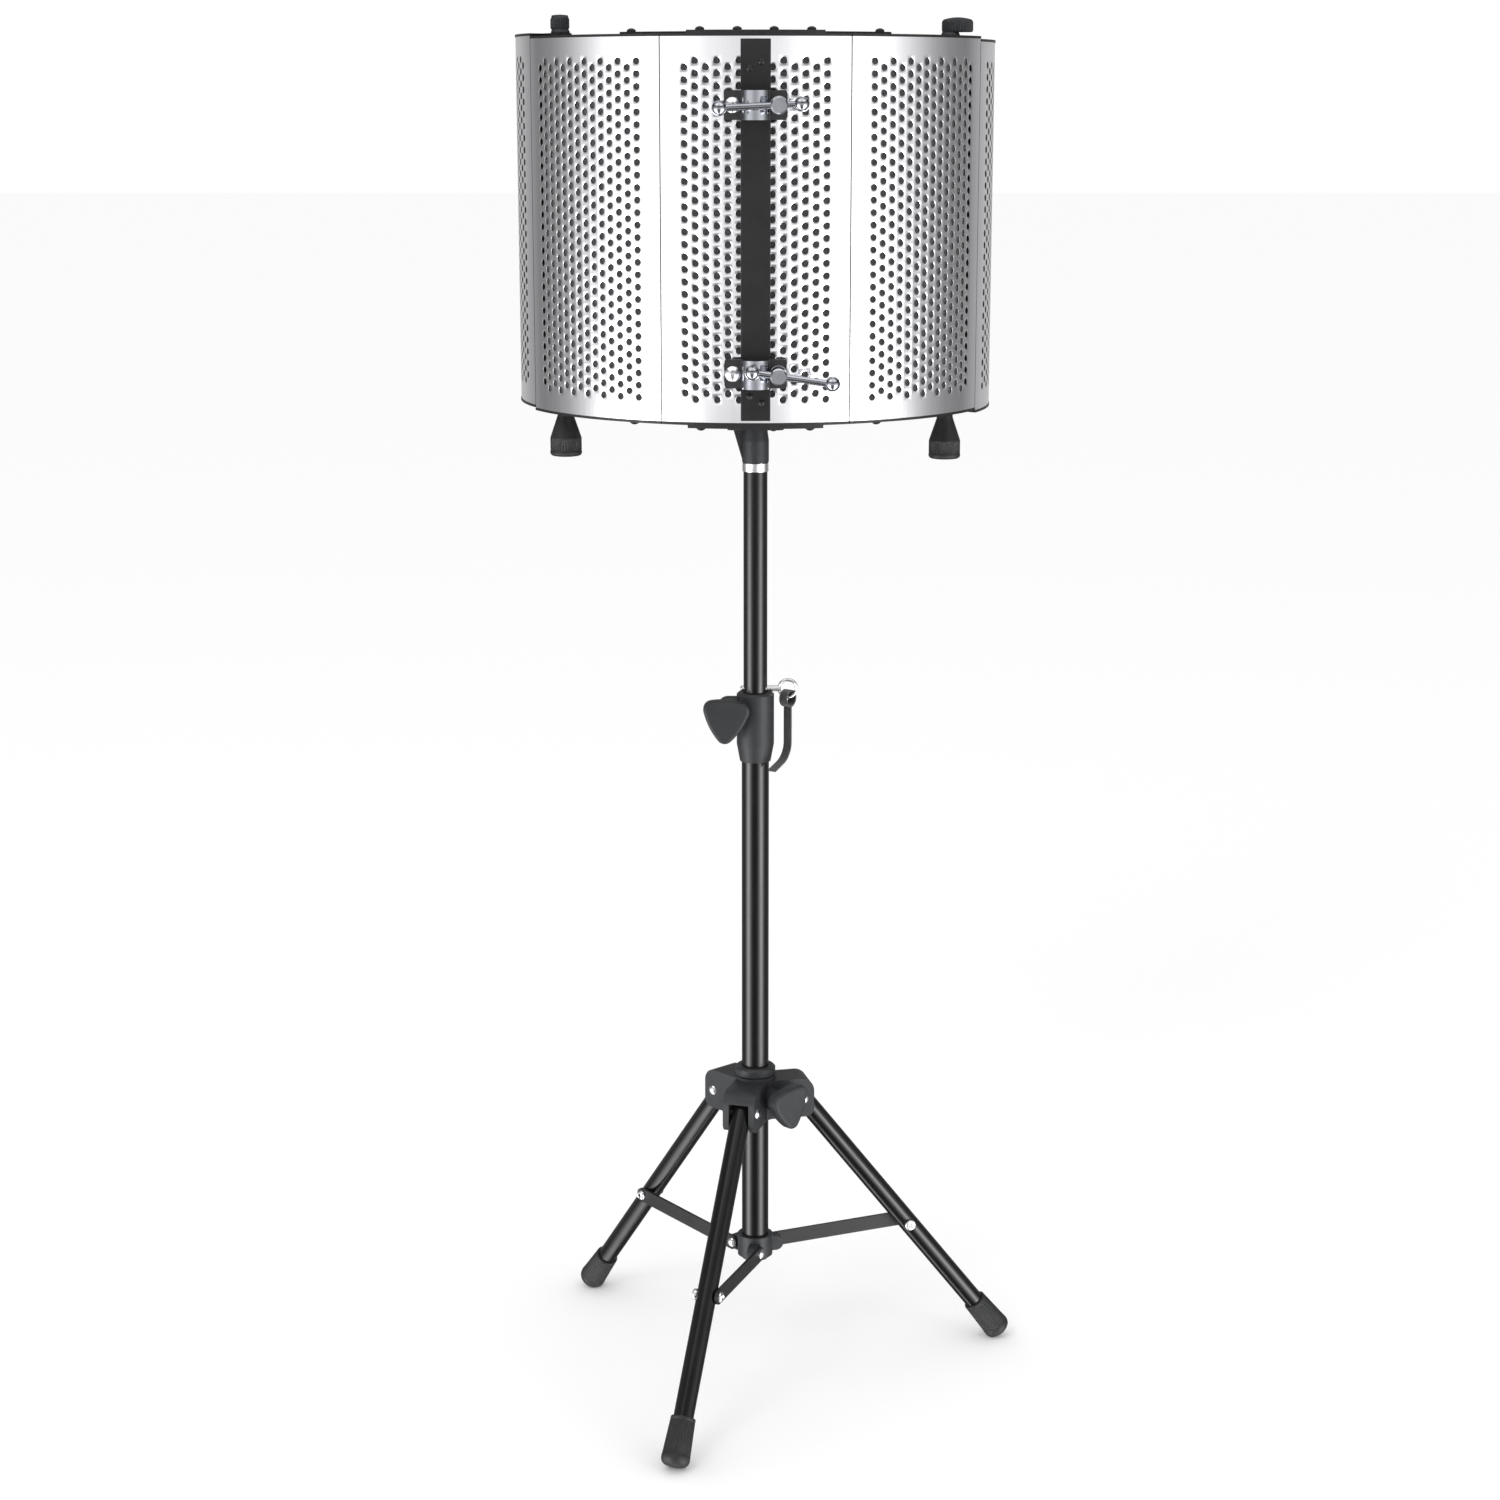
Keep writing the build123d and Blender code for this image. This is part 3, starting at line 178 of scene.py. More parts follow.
def make_reflections():
    """Soft studio walls and lamps round the object, fixed in the room, that only reflections see."""
    material = bpy.data.materials.new("studio_reflections")
    material.use_nodes = True
    tree = material.node_tree
    tree.nodes.clear()
    place = tree.nodes.new("ShaderNodeTexCoord").outputs["Object"]
    split = tree.nodes.new("ShaderNodeSeparateXYZ")
    tree.links.new(place, split.inputs[0])
    x, y, z = split.outputs
    toward_front = math_node(tree, "MULTIPLY", y, -1.0)
    turn = math_node(tree, "ADD", math_node(tree, "ARCTAN2", x, toward_front), math.radians(STUDIO_TURN))
    share = math_node(tree, "DIVIDE", math_node(tree, "ABSOLUTE", turn), math.pi)
    rise = math_node(tree, "ADD", math_node(tree, "MULTIPLY", z, 0.5 / STUDIO_RADIUS), 0.5)
    mix = tree.nodes.new("ShaderNodeMix")
    mix.data_type = "RGBA"
    mix.blend_type = "MULTIPLY"
    mix.inputs["Factor"].default_value = 1.0
    height = tree.nodes.new("ShaderNodeMapRange")
    height.inputs["From Min"].default_value, height.inputs["From Max"].default_value = STRIP_TOP
    tree.links.new(rise, height.inputs["Value"])
    level = tree.nodes.new("ShaderNodeMix")
    level.data_type = "RGBA"
    tree.links.new(height.outputs["Result"], level.inputs["Factor"])
    tree.links.new(studio_ramp(tree, share, STUDIO_STRIPS), level.inputs["A"])
    tree.links.new(studio_ramp(tree, share, STUDIO_WALLS), level.inputs["B"])
    tree.links.new(level.outputs["Result"], mix.inputs["A"])
    tree.links.new(studio_ramp(tree, rise, STUDIO_RISE), mix.inputs["B"])
    emission = tree.nodes.new("ShaderNodeEmission")
    emission.inputs["Strength"].default_value = STUDIO_UNIT ** 2
    output = tree.nodes.new("ShaderNodeOutputMaterial")
    tree.links.new(mix.outputs["Result"], emission.inputs["Color"])
    tree.links.new(emission.outputs[0], output.inputs["Surface"])

    bpy.ops.mesh.primitive_uv_sphere_add(
        segments=64, ring_count=32, radius=STUDIO_RADIUS, location=STUDIO_CENTRE)
    dome = bpy.context.object
    dome.name = "studio_dome"
    dome.data.materials.append(material)
    dome.visible_camera = False
    dome.visible_diffuse = False
    dome.visible_shadow = False
    dome.visible_transmission = False
    dome.visible_volume_scatter = False


# ------------------------------------------------------------------ material helpers
class Shader:
    """Short way to lay out one Principled material."""

    def __init__(self, name, color, roughness, metallic=0.0, **sockets):
        self.material = bpy.data.materials.new(name)
        self.material.use_nodes = True
        self.tree = self.material.node_tree
        self.principled = self.tree.nodes["Principled BSDF"]
        self.principled.inputs["Base Color"].default_value = (*color, 1)
        self.principled.inputs["Roughness"].default_value = roughness
        self.principled.inputs["Metallic"].default_value = metallic
        for socket, value in sockets.items():
            self.principled.inputs[socket.replace("_", " ")].default_value = value
        self.color = color
        self.place = self.node("ShaderNodeTexCoord").outputs["Object"]

    def node(self, kind, **values):
        made = self.tree.nodes.new(kind)
        for key, value in values.items():
            setattr(made, key, value)
        return made

    def link(self, output, target):
        self.tree.links.new(output, target)

    def mapped(self, scale):
        mapping = self.node("ShaderNodeMapping")
        mapping.inputs["Scale"].default_value = scale
        self.link(self.place, mapping.inputs["Vector"])
        return mapping.outputs["Vector"]

    def noise(self, scale, detail=3.0, rough=0.55, stretch=(1, 1, 1)):
        made = self.node("ShaderNodeTexNoise")
        made.inputs["Scale"].default_value = scale
        made.inputs["Detail"].default_value = detail
        made.inputs["Roughness"].default_value = rough
        self.link(self.mapped(stretch), made.inputs["Vector"])
        return made.outputs["Fac"]

    def ranged(self, source, low, high, start=0.3, end=0.7):
        made = self.node("ShaderNodeMapRange")
        for name, value in (("From Min", start), ("From Max", end), ("To Min", low), ("To Max", high)):
            made.inputs[name].default_value = value
        self.link(source, made.inputs["Value"])
        return made.outputs["Result"]

    def tint(self, source, dark, light):
        """Base colour that runs between two shades of it."""
        ramp = self.node("ShaderNodeValToRGB")
        ramp.color_ramp.elements[0].position = 0.3
        ramp.color_ramp.elements[1].position = 0.7
        ramp.color_ramp.elements[0].color = (*[c * dark for c in self.color], 1)
        ramp.color_ramp.elements[1].color = (*[c * light for c in self.color], 1)
        self.link(source, ramp.inputs["Fac"])
        self.link(ramp.outputs["Color"], self.principled.inputs["Base Color"])

    def roughness(self, source, low, high):
        self.link(self.ranged(source, low, high), self.principled.inputs["Roughness"])

    def bump(self, source, strength, distance):
        made = self.node("ShaderNodeBump")
        made.inputs["Strength"].default_value = strength
        made.inputs["Distance"].default_value = distance
        self.link(source, made.inputs["Height"])
        self.link(made.outputs["Normal"], self.principled.inputs["Normal"])


def plain_floor():
    shader = Shader("plain_floor", (0.96, 0.96, 0.96), 0.7, Specular_IOR_Level=0.0)
    shader.roughness(shader.noise(8), 0.65, 0.75)
    return shader.material


def brushed_aluminium():
    shader = Shader("brushed_aluminium", (0.86, 0.86, 0.885), 0.13, metallic=1.0)
    grain = shader.noise(900, 2.0, 0.5, stretch=(1, 1, 0.012))
    shader.tint(grain, 0.97, 1.0)
    shader.roughness(shader.noise(260, 3.0, 0.5, stretch=(1, 1, 0.02)), 0.11, 0.16)
    shader.bump(grain, 0.02, 0.0001)
    return shader.material


def acoustic_foam():
    shader = Shader("acoustic_foam", (0.022, 0.022, 0.024), 0.95, Sheen_Weight=0.25, Sheen_Roughness=0.6)
    cells = shader.node("ShaderNodeTexVoronoi")
    cells.inputs["Scale"].default_value = 900
    shader.link(shader.place, cells.inputs["Vector"])
    shader.tint(shader.noise(60, 5.0), 0.7, 1.5)
    shader.bump(cells.outputs["Distance"], 0.8, 0.0008)
    return shader.material


def powder_black():
    shader = Shader("powder_black", (0.012, 0.012, 0.013), 0.42, Specular_IOR_Level=0.25)
    grain = shader.noise(1400, 2.0)
    shader.tint(shader.noise(45, 4.0), 0.8, 1.25)
    shader.roughness(grain, 0.36, 0.5)
    shader.bump(grain, 0.25, 0.00012)
    return shader.material


def gloss_black_tube():
    shader = Shader("gloss_black_tube", (0.006, 0.006, 0.0065), 0.2, Specular_IOR_Level=0.26)
    peel = shader.noise(320, 2.0)
    shader.roughness(shader.noise(30, 4.0), 0.17, 0.25)
    shader.bump(peel, 0.08, 0.0001)
    return shader.material


def moulded_plastic():
    shader = Shader("moulded_plastic", (0.024, 0.025, 0.027), 0.5, Specular_IOR_Level=0.25)
    grain = shader.noise(1800, 2.0)
    shader.tint(shader.noise(40, 4.0), 0.82, 1.2)
    shader.roughness(grain, 0.44, 0.58)
    shader.bump(grain, 0.35, 0.00015)
    return shader.material


def black_rubber():
    shader = Shader("black_rubber", (0.012, 0.012, 0.013), 0.5, Specular_IOR_Level=0.3)
    shader.tint(shader.noise(70, 5.0), 0.75, 1.5)
    shader.roughness(shader.noise(400, 3.0), 0.5, 0.7)
    shader.bump(shader.noise(1500, 2.0), 0.3, 0.00012)
    return shader.material


def dark_chrome():
    shader = Shader("dark_chrome", (0.33, 0.34, 0.37), 0.12, metallic=1.0)
    shader.tint(shader.noise(90, 4.0), 0.85, 1.1)
    shader.roughness(shader.noise(500, 3.0), 0.08, 0.18)
    return shader.material


def clamp_saddle():
    """Dark chrome half-round whose two ears, beyond the pole, are painted black as shade: the dark that
    their flat faces reflect.
    """
    shader = Shader("clamp_saddle", (0.33, 0.34, 0.37), 0.12, metallic=1.0)
    split = shader.node("ShaderNodeSeparateXYZ")
    shader.link(shader.place, split.inputs[0])
    side = math_node(shader.tree, "ABSOLUTE", split.outputs["X"])
    # mask of the two ears, which get painted shade: black, not metallic and rougher
    ear_painted_shade = math_node(shader.tree, "GREATER_THAN", side, SADDLE_HALF_WIDTH)
    shader.link(math_node(shader.tree, "SUBTRACT", 1.0, ear_painted_shade), shader.principled.inputs["Metallic"])
    rough = math_node(shader.tree, "MULTIPLY_ADD", ear_painted_shade, 0.3, 0.12)
    fleck = math_node(shader.tree, "MULTIPLY_ADD", shader.noise(500), 0.1, -0.05)
    shader.link(math_node(shader.tree, "ADD", rough, fleck), shader.principled.inputs["Roughness"])
    # base colour runs from the half-round's dark chrome to the ears' painted shade
    ramp = shader.node("ShaderNodeValToRGB")
    ramp.color_ramp.elements[0].color = (0.33, 0.34, 0.37, 1)
    ramp.color_ramp.elements[1].color = (0.012, 0.012, 0.013, 1)
    shader.link(ear_painted_shade, ramp.inputs["Fac"])
    shader.link(ramp.outputs["Color"], shader.principled.inputs["Base Color"])
    return shader.material


def zinc_steel():
    shader = Shader("zinc_steel", (0.72, 0.72, 0.74), 0.24, metallic=1.0)
    shader.tint(shader.noise(200, 4.0), 0.86, 1.04)
    shader.roughness(shader.noise(700, 3.0), 0.18, 0.32)
    return shader.material


def woven_webbing():
    shader = Shader("woven_webbing", (0.012, 0.012, 0.013), 0.8, Sheen_Weight=0.3, Sheen_Roughness=0.5)
    weave = shader.node("ShaderNodeTexWave", wave_type="BANDS", bands_direction="DIAGONAL")
    weave.inputs["Scale"].default_value = 520
    weave.inputs["Distortion"].default_value = 1.5
    shader.link(shader.place, weave.inputs["Vector"])
    shader.tint(weave.outputs["Fac"], 0.5, 1.9)
    shader.bump(weave.outputs["Fac"], 0.7, 0.0004)
    return shader.material


MATERIALS = {
    "polished_aluminium": brushed_aluminium(),
    "acoustic_foam": acoustic_foam(),
    "black_plate": powder_black(),
    "black_screws": powder_black(),
    "dark_chrome": dark_chrome(),
    "zinc_steel": zinc_steel(),
    "black_plastic": moulded_plastic(),
    "black_tube": gloss_black_tube(),
    "black_rubber": black_rubber(),
    "webbing": woven_webbing(),
}
MATERIALS["black_strut"] = MATERIALS["black_plate"]
NODE_MATERIALS = {
    "upper_clamp_saddle": clamp_saddle(),
    "lower_clamp_saddle": clamp_saddle(),
}
NODE_SLOTS = {row["node"]: row["material_slot"] for row in frame["record"]["subparts"]}


def dress_cad_nodes():
    for name, obj in frame["nodes"].items():
        obj.data.materials.clear()
        obj.data.materials.append(NODE_MATERIALS.get(name) or MATERIALS[NODE_SLOTS[name]])


# ------------------------------------------------------------------ mesh helpers
def finish_piece(mesh, name, body, slot, *replaced):
    """Turns a bmesh into a piece that rides on a body, with the finish of a record slot."""
    data = bpy.data.meshes.new(name)
    bmesh.ops.recalc_face_normals(mesh, faces=mesh.faces)
    mesh.to_mesh(data)
    mesh.free()
    piece = bpy.data.objects.new(name, data)
    bpy.context.scene.collection.objects.link(piece)
    data.materials.append(MATERIALS[slot])
    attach(piece, body)
    if replaced:
        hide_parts(*replaced)
    return piece


def sharpen(mesh, degrees):
    """Smooth faces, with the edges that turn by more than the angle left sharp."""
    limit = math.radians(degrees)
    for face in mesh.faces:
        face.smooth = True
    for edge in mesh.edges:
        if len(edge.link_faces) == 2:
            edge.smooth = edge.calc_face_angle(0) < limit


def on_arc(radius, angle, z):
    """Point on the shield, at an angle measured from the front towards +X."""
    return Vector((radius * math.sin(angle), ARC_CENTRE_Y - radius * math.cos(angle), z))


def span_of(node):
    """First and last angle of a CAD node round the shield."""
    angles = []
    for vertex in frame["nodes"][node].data.vertices:
        angles.append(math.atan2(vertex.co.x, ARC_CENTRE_Y - vertex.co.y))
    return min(angles), max(angles)


def steps(start, end, count):
    return [start + (end - start) * i / count for i in range(count + 1)]


# ------------------------------------------------------------------ perforated sheets
HOLE_SIDES = 16
CELL = 4                       # lattice steps across one hole's cell, each way
MARGIN_STEPS = 4


def ring_of_cell(i, j):
    """The sixteen lattice points round one hole's cell, anticlockwise from its lower left corner."""
    ring = [(i + k, j) for k in range(CELL)]
    ring += [(i + CELL, j + k) for k in range(CELL)]
    ring += [(i + CELL - k, j + CELL) for k in range(CELL)]
    ring += [(i, j + CELL - k) for k in range(CELL)]
    return ring


def perforated_sheet(node, body, first_tall):
    low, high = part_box(node)
    first, last = span_of(node)
    middle = (first + last) / 2
    half_arc = (last - first) / 2 * SHIELD_RADIUS
    half_field = HOLE_COLUMNS * COLUMN_PITCH / 2
    centre_z = (low.z + high.z) / 2
    half_tall = TALL_COLUMN * HOLE_PITCH / 2
    arcs = steps(-half_arc, -half_field, MARGIN_STEPS)[:-1]
    arcs += steps(-half_field, half_field, HOLE_COLUMNS * CELL)
    arcs += steps(half_field, half_arc, MARGIN_STEPS)[1:]
    heights = steps(low.z, centre_z - half_tall, MARGIN_STEPS)[:-1]
    heights += steps(centre_z - half_tall, centre_z + half_tall, TALL_COLUMN * CELL)
    heights += steps(centre_z + half_tall, high.z, MARGIN_STEPS)[1:]

    mesh = bmesh.new()
    grid = {}

    def at(arc, z, radius=SHIELD_RADIUS):
        return on_arc(radius, middle + arc / SHIELD_RADIUS, z)

    def corner(i, j):
        if (i, j) not in grid:
            grid[i, j] = mesh.verts.new(at(arcs[i], heights[j]))
        return grid[i, j]

    holes = []
    for column in range(HOLE_COLUMNS):
        tall = (column % 2 == 0) == first_tall
        offset = 0 if tall else CELL // 2
        for row in range(TALL_COLUMN if tall else TALL_COLUMN - 1):
            holes.append((MARGIN_STEPS + column * CELL, MARGIN_STEPS + offset + row * CELL))
    taken = {(i + di, j + dj) for i, j in holes for di in range(CELL) for dj in range(CELL)}
    for i in range(len(arcs) - 1):
        for j in range(len(heights) - 1):
            if (i, j) not in taken:
                mesh.faces.new([corner(i, j), corner(i + 1, j), corner(i + 1, j + 1), corner(i, j + 1)])
    for i, j in holes:
        outline = [corner(*key) for key in ring_of_cell(i, j)]
        arc = (arcs[i] + arcs[i + CELL]) / 2
        z = (heights[j] + heights[j + CELL]) / 2
        rings = [outline]
        for radius, sink in ((HOLE_RADIUS + HOLE_LIP, 0), (HOLE_RADIUS, LIP_DEPTH)):
            ring = []
            for k in range(HOLE_SIDES):
                turn = math.radians(225) + math.tau * k / HOLE_SIDES
                ring.append(mesh.verts.new(
                    at(arc + radius * math.cos(turn), z + radius * math.sin(turn), SHIELD_RADIUS - sink)))
            rings.append(ring)
        for outer, inner in zip(rings, rings[1:]):
            for k in range(HOLE_SIDES):
                n = (k + 1) % HOLE_SIDES
                mesh.faces.new([outer[k], outer[n], inner[n], inner[k]])
    sharpen(mesh, 12)
    for edge in mesh.edges:
        if edge.is_boundary:
            edge.smooth = False
    piece = finish_piece(mesh, f"{node}_perforated", body, "polished_aluminium", node)
    thick = piece.modifiers.new("thickness", "SOLIDIFY")
    thick.thickness = SHEET_SKIN
    thick.offset = -1
    return piece


# ------------------------------------------------------------------ acoustic foam
FOAM_STEPS = 8                 # lattice steps across one pyramid


def pyramid(u, v):
    """Height of the cut foam, 0 in a groove and 1 on a tip, over one cell of side 1."""
    slope = 1 - max(abs(2 * (u % 1) - 1), abs(2 * (v % 1) - 1))
    rounded = 0.5 - 0.5 * math.cos(math.pi * slope)
    return 0.6 * slope + 0.4 * rounded


def foam_slab(node, body):
    low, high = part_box(node)
    first, last = span_of(node)
    back = SHIELD_RADIUS - SHEET_THICK - 0.1 * MM
    tip = min((v.co.xy - Vector((0, ARC_CENTRE_Y))).length for v in frame["nodes"][node].data.vertices)
    cells_round = max(1, round((last - first) * tip / FOAM_CELL))
    cells_up = round((high.z - low.z) / FOAM_CELL)
    angles = steps(first, last, cells_round * FOAM_STEPS)
    heights = steps(low.z, high.z, cells_up * FOAM_STEPS)
    mesh = bmesh.new()
    outer, inner = [], []
    for i, angle in enumerate(angles):
        outer.append([mesh.verts.new(on_arc(back, angle, z)) for z in heights])
        column = []
        for j, z in enumerate(heights):
            lift = pyramid(i / FOAM_STEPS, j / FOAM_STEPS)
            column.append(mesh.verts.new(on_arc(tip + FOAM_TIP * (1 - lift), angle, z)))
        inner.append(column)
    for grid in (outer, inner):
        for i in range(len(angles) - 1):
            for j in range(len(heights) - 1):
                mesh.faces.new([grid[i][j], grid[i + 1][j], grid[i + 1][j + 1], grid[i][j + 1]])
    for i in range(len(angles) - 1):
        for j in (0, -1):
            mesh.faces.new([outer[i][j], outer[i + 1][j], inner[i + 1][j], inner[i][j]])
    for i in (0, -1):
        for j in range(len(heights) - 1):
            mesh.faces.new([outer[i][j], outer[i][j + 1], inner[i][j + 1], inner[i][j]])
    sharpen(mesh, 32)
    piece = finish_piece(mesh, f"{node}_pyramids", body, "acoustic_foam", node)
    return piece


def make_shield():
    bodies = {
        "centre": "shield",
        "left": "left_panel",
        "right": "right_panel",
        "left_wing": "left_wing",
        "right_wing": "right_wing",
    }
    for name, body in bodies.items():
        perforated_sheet(f"{name}_sheet", body, first_tall=name not in ("centre", "left"))
        foam_slab(f"{name}_foam", body)


# ------------------------------------------------------------------ turned rubber and plastic pieces
def skin(mesh, loops):
    """Faces between loops of as many points each, and a face that closes each end."""
    count = len(loops[0])
    for lower, upper in zip(loops, loops[1:]):
        for k in range(count):
            n = (k + 1) % count
            mesh.faces.new([lower[k], lower[n], upper[n], upper[k]])
    mesh.faces.new(list(reversed(loops[0])))
    mesh.faces.new(loops[-1])


def lathed(mesh, profile, sides, place, ribs=None):
    """Turned shape. ribs(index, turn) shifts the radius of a ring of the profile at an angle."""
    rings = []
    for index, (radius, height) in enumerate(profile):
        ring = []
        for k in range(sides):
            turn = math.tau * k / sides
            reach = radius + (ribs(index, turn) if ribs else 0)
            point = Vector((reach * math.cos(turn), reach * math.sin(turn), height))
            ring.append(mesh.verts.new(place @ point))
        rings.append(ring)
    skin(mesh, rings)


def in_metres(profile):
    return [(radius * MM, height * MM) for radius, height in profile]


def centre_of(node):
    low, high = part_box(node)
    return (low + high) / 2


KNOB_LENGTH = 25 * MM
KNOB_WIDTH = 14.5 * MM
KNOB_HEIGHT = 11.5 * MM
KNOB_OFFSET = 5.5 * MM         # from the stud to the middle of the oblong grip
KNOB_DOME_R = 36 * MM
KNOB_NECK = 2.8 * MM
KNOB_NECK_R = 7.6 * MM
STUD_LENGTH = 10 * MM
STUD_RADIUS = 2.5 * MM
STUD_SIDES = 24
KNOB_RIBS = 30
KNOB_RIB_STEPS = 8             # points of the outline across one rib
KNOB_RIB_DEPTH = 0.38 * MM
KNOB_TOP_RINGS = (0.92, 0.8, 0.6, 0.35, 0.12)   # rings of the domed top, as shares of its outline
KNOB_TURNS = {"left": 97, "right": 0}           # degrees from +X to which each grip points


def oblong(turn, grow):
    """Point of the knob's outline, a slot with half-round ends, by the share of a full turn."""
    radius = KNOB_WIDTH / 2 + grow
    straight = KNOB_LENGTH - KNOB_WIDTH
    round_end = math.pi * KNOB_WIDTH / 2
    along = turn * (2 * straight + 2 * round_end)
    if along < straight:
        return Vector((-straight / 2 + along, -radius, 0))
    along -= straight
    if along < round_end:
        angle = along / (KNOB_WIDTH / 2) - math.pi / 2
        return Vector((straight / 2, 0, 0)) + Vector((math.cos(angle), math.sin(angle), 0)) * radius
    along -= round_end
    if along < straight:
        return Vector((straight / 2 - along, radius, 0))
    along -= straight
    angle = along / (KNOB_WIDTH / 2) + math.pi / 2
    return Vector((-straight / 2, 0, 0)) + Vector((math.cos(angle), math.sin(angle), 0)) * radius


def ribbed_thumb_knob(name):
    node = f"{name}_thumb_knob"
    low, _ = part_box(node)
    foot = centre_of(f"{name}_table_foot")
    turn = Matrix.Rotation(math.radians(KNOB_TURNS[name]), 4, "Z")
    place = Matrix.Translation((foot.x, foot.y, low.z + STUD_LENGTH)) @ turn
    mesh = bmesh.new()
    lathed(mesh, [(STUD_RADIUS, -STUD_LENGTH), (STUD_RADIUS, 0)], STUD_SIDES, place)
    neck = [(KNOB_NECK_R, 0), (KNOB_NECK_R, 0.4 * MM), (KNOB_NECK_R - 1.2 * MM, KNOB_NECK + 0.6 * MM)]
    lathed(mesh, neck, 48, place)
    count = KNOB_RIBS * KNOB_RIB_STEPS
    crown_height = KNOB_DOME_R - math.sqrt(KNOB_DOME_R ** 2 - (KNOB_LENGTH / 2) ** 2)
    side = KNOB_HEIGHT - crown_height - 0.4 * MM
    # growth of the outline and height of each ring, in millimetres, and its share of the ribs' depth
    wall = (
        (-3.0, 0.0, 0.0), (-0.9, 0.05, 0.0), (-0.5, 0.5, 0.4), (-0.4, 1.4, 1.0),
        (-0.4, side / MM - 1.4, 1.0), (-0.45, side / MM - 0.7, 0.4), (-0.5, side / MM - 0.2, 0.0),
    )
    rings = []
    for grow, height, ribbed in wall:
        ring = []
        for k in range(count):
            rib = ribbed * KNOB_RIB_DEPTH * math.cos(math.tau * k / KNOB_RIB_STEPS)
            point = oblong(k / count, grow * MM + rib)
            ring.append((point.x, point.y, height * MM))
        rings.append(ring)
    for shrink in KNOB_TOP_RINGS:
        ring = []
        for k in range(count):
            point = oblong(k / count, -0.5 * MM)
            x, y = point.x * shrink, point.y * shrink
            crown = math.sqrt(KNOB_DOME_R ** 2 - x ** 2 - y ** 2) - KNOB_DOME_R
            ring.append((x, y, KNOB_HEIGHT + crown - 0.05 * MM))
        rings.append(ring)
    shift = Vector((KNOB_OFFSET, 0, KNOB_NECK))
    loops = [[mesh.verts.new(place @ (Vector(point) + shift)) for point in ring] for ring in rings]
    skin(mesh, loops)
    sharpen(mesh, 50)
    finish_piece(mesh, f"{name}_knob_ribbed", node, "black_plastic", node)


FOOT_RIBS = 36
FOOT_RIB_DEPTH = 0.3 * MM
FOOT_RIBBED_RINGS = (9, 10)
RIB_STEPS = 6                  # points of a turned ring across one rib
# Radius and height below the shield's underside, in millimetres, from the neck to the sole.
FOOT_PROFILE = (
    (6.0, 0.0), (6.4, -0.5), (6.4, -3.0), (6.8, -4.6), (8.1, -8.5), (11.2, -17.5), (12.4, -21.2),
    (12.75, -22.2), (12.75, -22.8), (12.5, -23.2), (12.5, -32.0), (12.6, -32.4), (12.9, -33.0),
    (13.0, -34.0), (12.9, -35.0), (12.3, -36.1), (11.2, -36.8), (10.0, -37.0),
)


def ribbed_table_foot(name):
    node = f"{name}_table_foot"
    low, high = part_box(node)
    centre = centre_of(node)
    place = Matrix.Translation((centre.x, centre.y, high.z - STUD_LENGTH))

    def ribs(index, turn):
        return FOOT_RIB_DEPTH * math.cos(turn * FOOT_RIBS) if index in FOOT_RIBBED_RINGS else 0

    mesh = bmesh.new()
    lathed(mesh, [(STUD_RADIUS, 0), (STUD_RADIUS, STUD_LENGTH)], STUD_SIDES, place)
    lathed(mesh, in_metres(FOOT_PROFILE), FOOT_RIBS * RIB_STEPS, place, ribs)
    sharpen(mesh, 42)
    finish_piece(mesh, f"{name}_foot_ribbed", node, "black_rubber", node)


# ------------------------------------------------------------------ tripod caps
LEG_DIRECTIONS = {"front": -107, "right": 13, "left": 133}
LEG_PIVOT = Vector((38 * MM, 0, 232 * MM))
LEG_END = Vector((216 * MM, 0, 4.2 * MM))
CAP_RIBS = 30
CAP_RIB_DEPTH = 0.28 * MM
CAP_RIBBED_RINGS = (5, 6)
# Radius and place along the leg, in millimetres, from the cap's upper end to its sole.
CAP_PROFILE = (
    (8.2, -38.0), (9.6, -37.9), (9.9, -37.4), (9.95, -35.6), (9.6, -35.2), (9.7, -34.8), (10.9, -9.0),
    (11.0, -8.4), (11.35, -8.0), (11.4, -5.5), (11.1, -3.6), (10.2, -1.9), (8.7, -0.6), (6.9, 0.0),
)


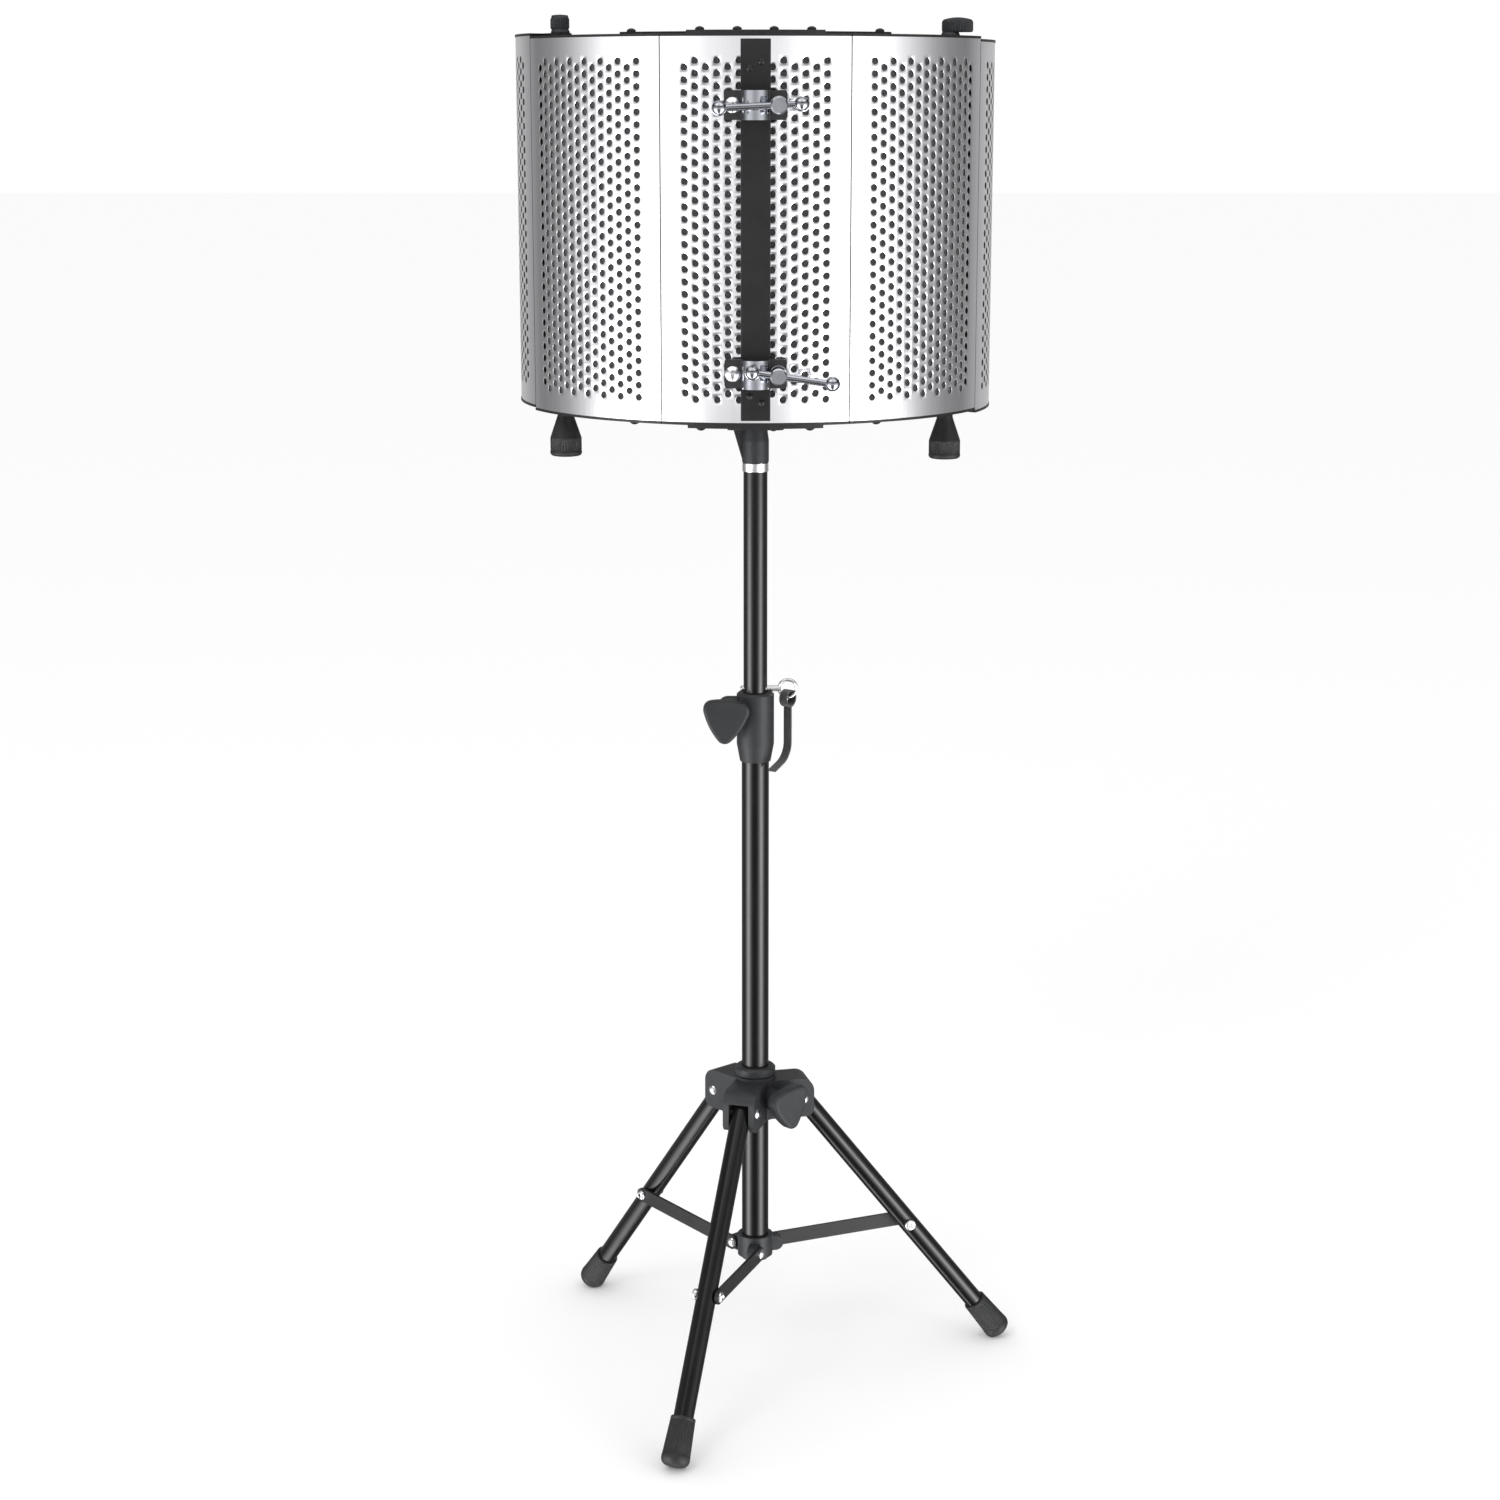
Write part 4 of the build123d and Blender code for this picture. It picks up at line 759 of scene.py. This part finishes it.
def ribbed_leg_cap(name):
    node = f"{name}_leg_cap"
    run = LEG_END - LEG_PIVOT
    turn = Matrix.Rotation(math.radians(LEG_DIRECTIONS[name]), 4, "Z")
    lean = run.to_track_quat("Z", "Y").to_matrix().to_4x4()
    place = turn @ Matrix.Translation(LEG_END) @ lean

    def ribs(index, turned):
        return CAP_RIB_DEPTH * math.cos(turned * CAP_RIBS) if index in CAP_RIBBED_RINGS else 0

    mesh = bmesh.new()
    lathed(mesh, in_metres(CAP_PROFILE), CAP_RIBS * RIB_STEPS, place, ribs)
    for vertex in mesh.verts:
        vertex.co.z = max(vertex.co.z, 0.0)
    sharpen(mesh, 42)
    finish_piece(mesh, f"{name}_cap_ribbed", f"{name}_leg", "black_rubber", node)


# ------------------------------------------------------------------ bright bolt heads of the struts
STRUT_LEG_SHARE = 0.53         # place of a strut's pivot along its leg
STRUT_FACE = 10.8 * MM         # outer face of a strut, beside its leg
LEG_FACE = 8.0 * MM            # surface of the leg on the other side
HEAD_SIDES = 32
# Radius and height above that face, in millimetres.
HEAD_PROFILES = {
    "strut": ((4.4, 0.0), (4.4, 1.0), (4.0, 1.9), (3.3, 2.6), (2.5, 2.9), (1.9, 2.9), (1.9, 1.9)),
    "leg": ((4.5, -1.0), (4.5, 2.1), (4.2, 2.7), (3.4, 3.1), (2.5, 3.2), (2.0, 3.2), (2.0, 2.5)),
}


def strut_bolt_head(name, part):
    """Socketed head over the strut's pivot, on the strut's outside or on the leg's other side."""
    joint = LEG_PIVOT.lerp(LEG_END, STRUT_LEG_SHARE)
    way = 1 if part == "strut" else -1
    joint.y = way * (STRUT_FACE if part == "strut" else LEG_FACE)
    outward = Vector((0, way, 0)).to_track_quat("Z", "X").to_matrix().to_4x4()
    turn = Matrix.Rotation(math.radians(LEG_DIRECTIONS[name]), 4, "Z")
    mesh = bmesh.new()
    place = turn @ Matrix.Translation(joint) @ outward
    lathed(mesh, in_metres(HEAD_PROFILES[part]), HEAD_SIDES, place)
    sharpen(mesh, 40)
    finish_piece(mesh, f"{name}_{part}_bolt_head", f"{name}_{part}", "zinc_steel")


make_camera()
make_world()
make_floor()
make_lights()
make_reflections()
dress_cad_nodes()
make_shield()
for side in ("left", "right"):
    ribbed_thumb_knob(side)
    ribbed_table_foot(side)
for leg in LEG_DIRECTIONS:
    ribbed_leg_cap(leg)
    for part in HEAD_PROFILES:
        strut_bolt_head(leg, part)
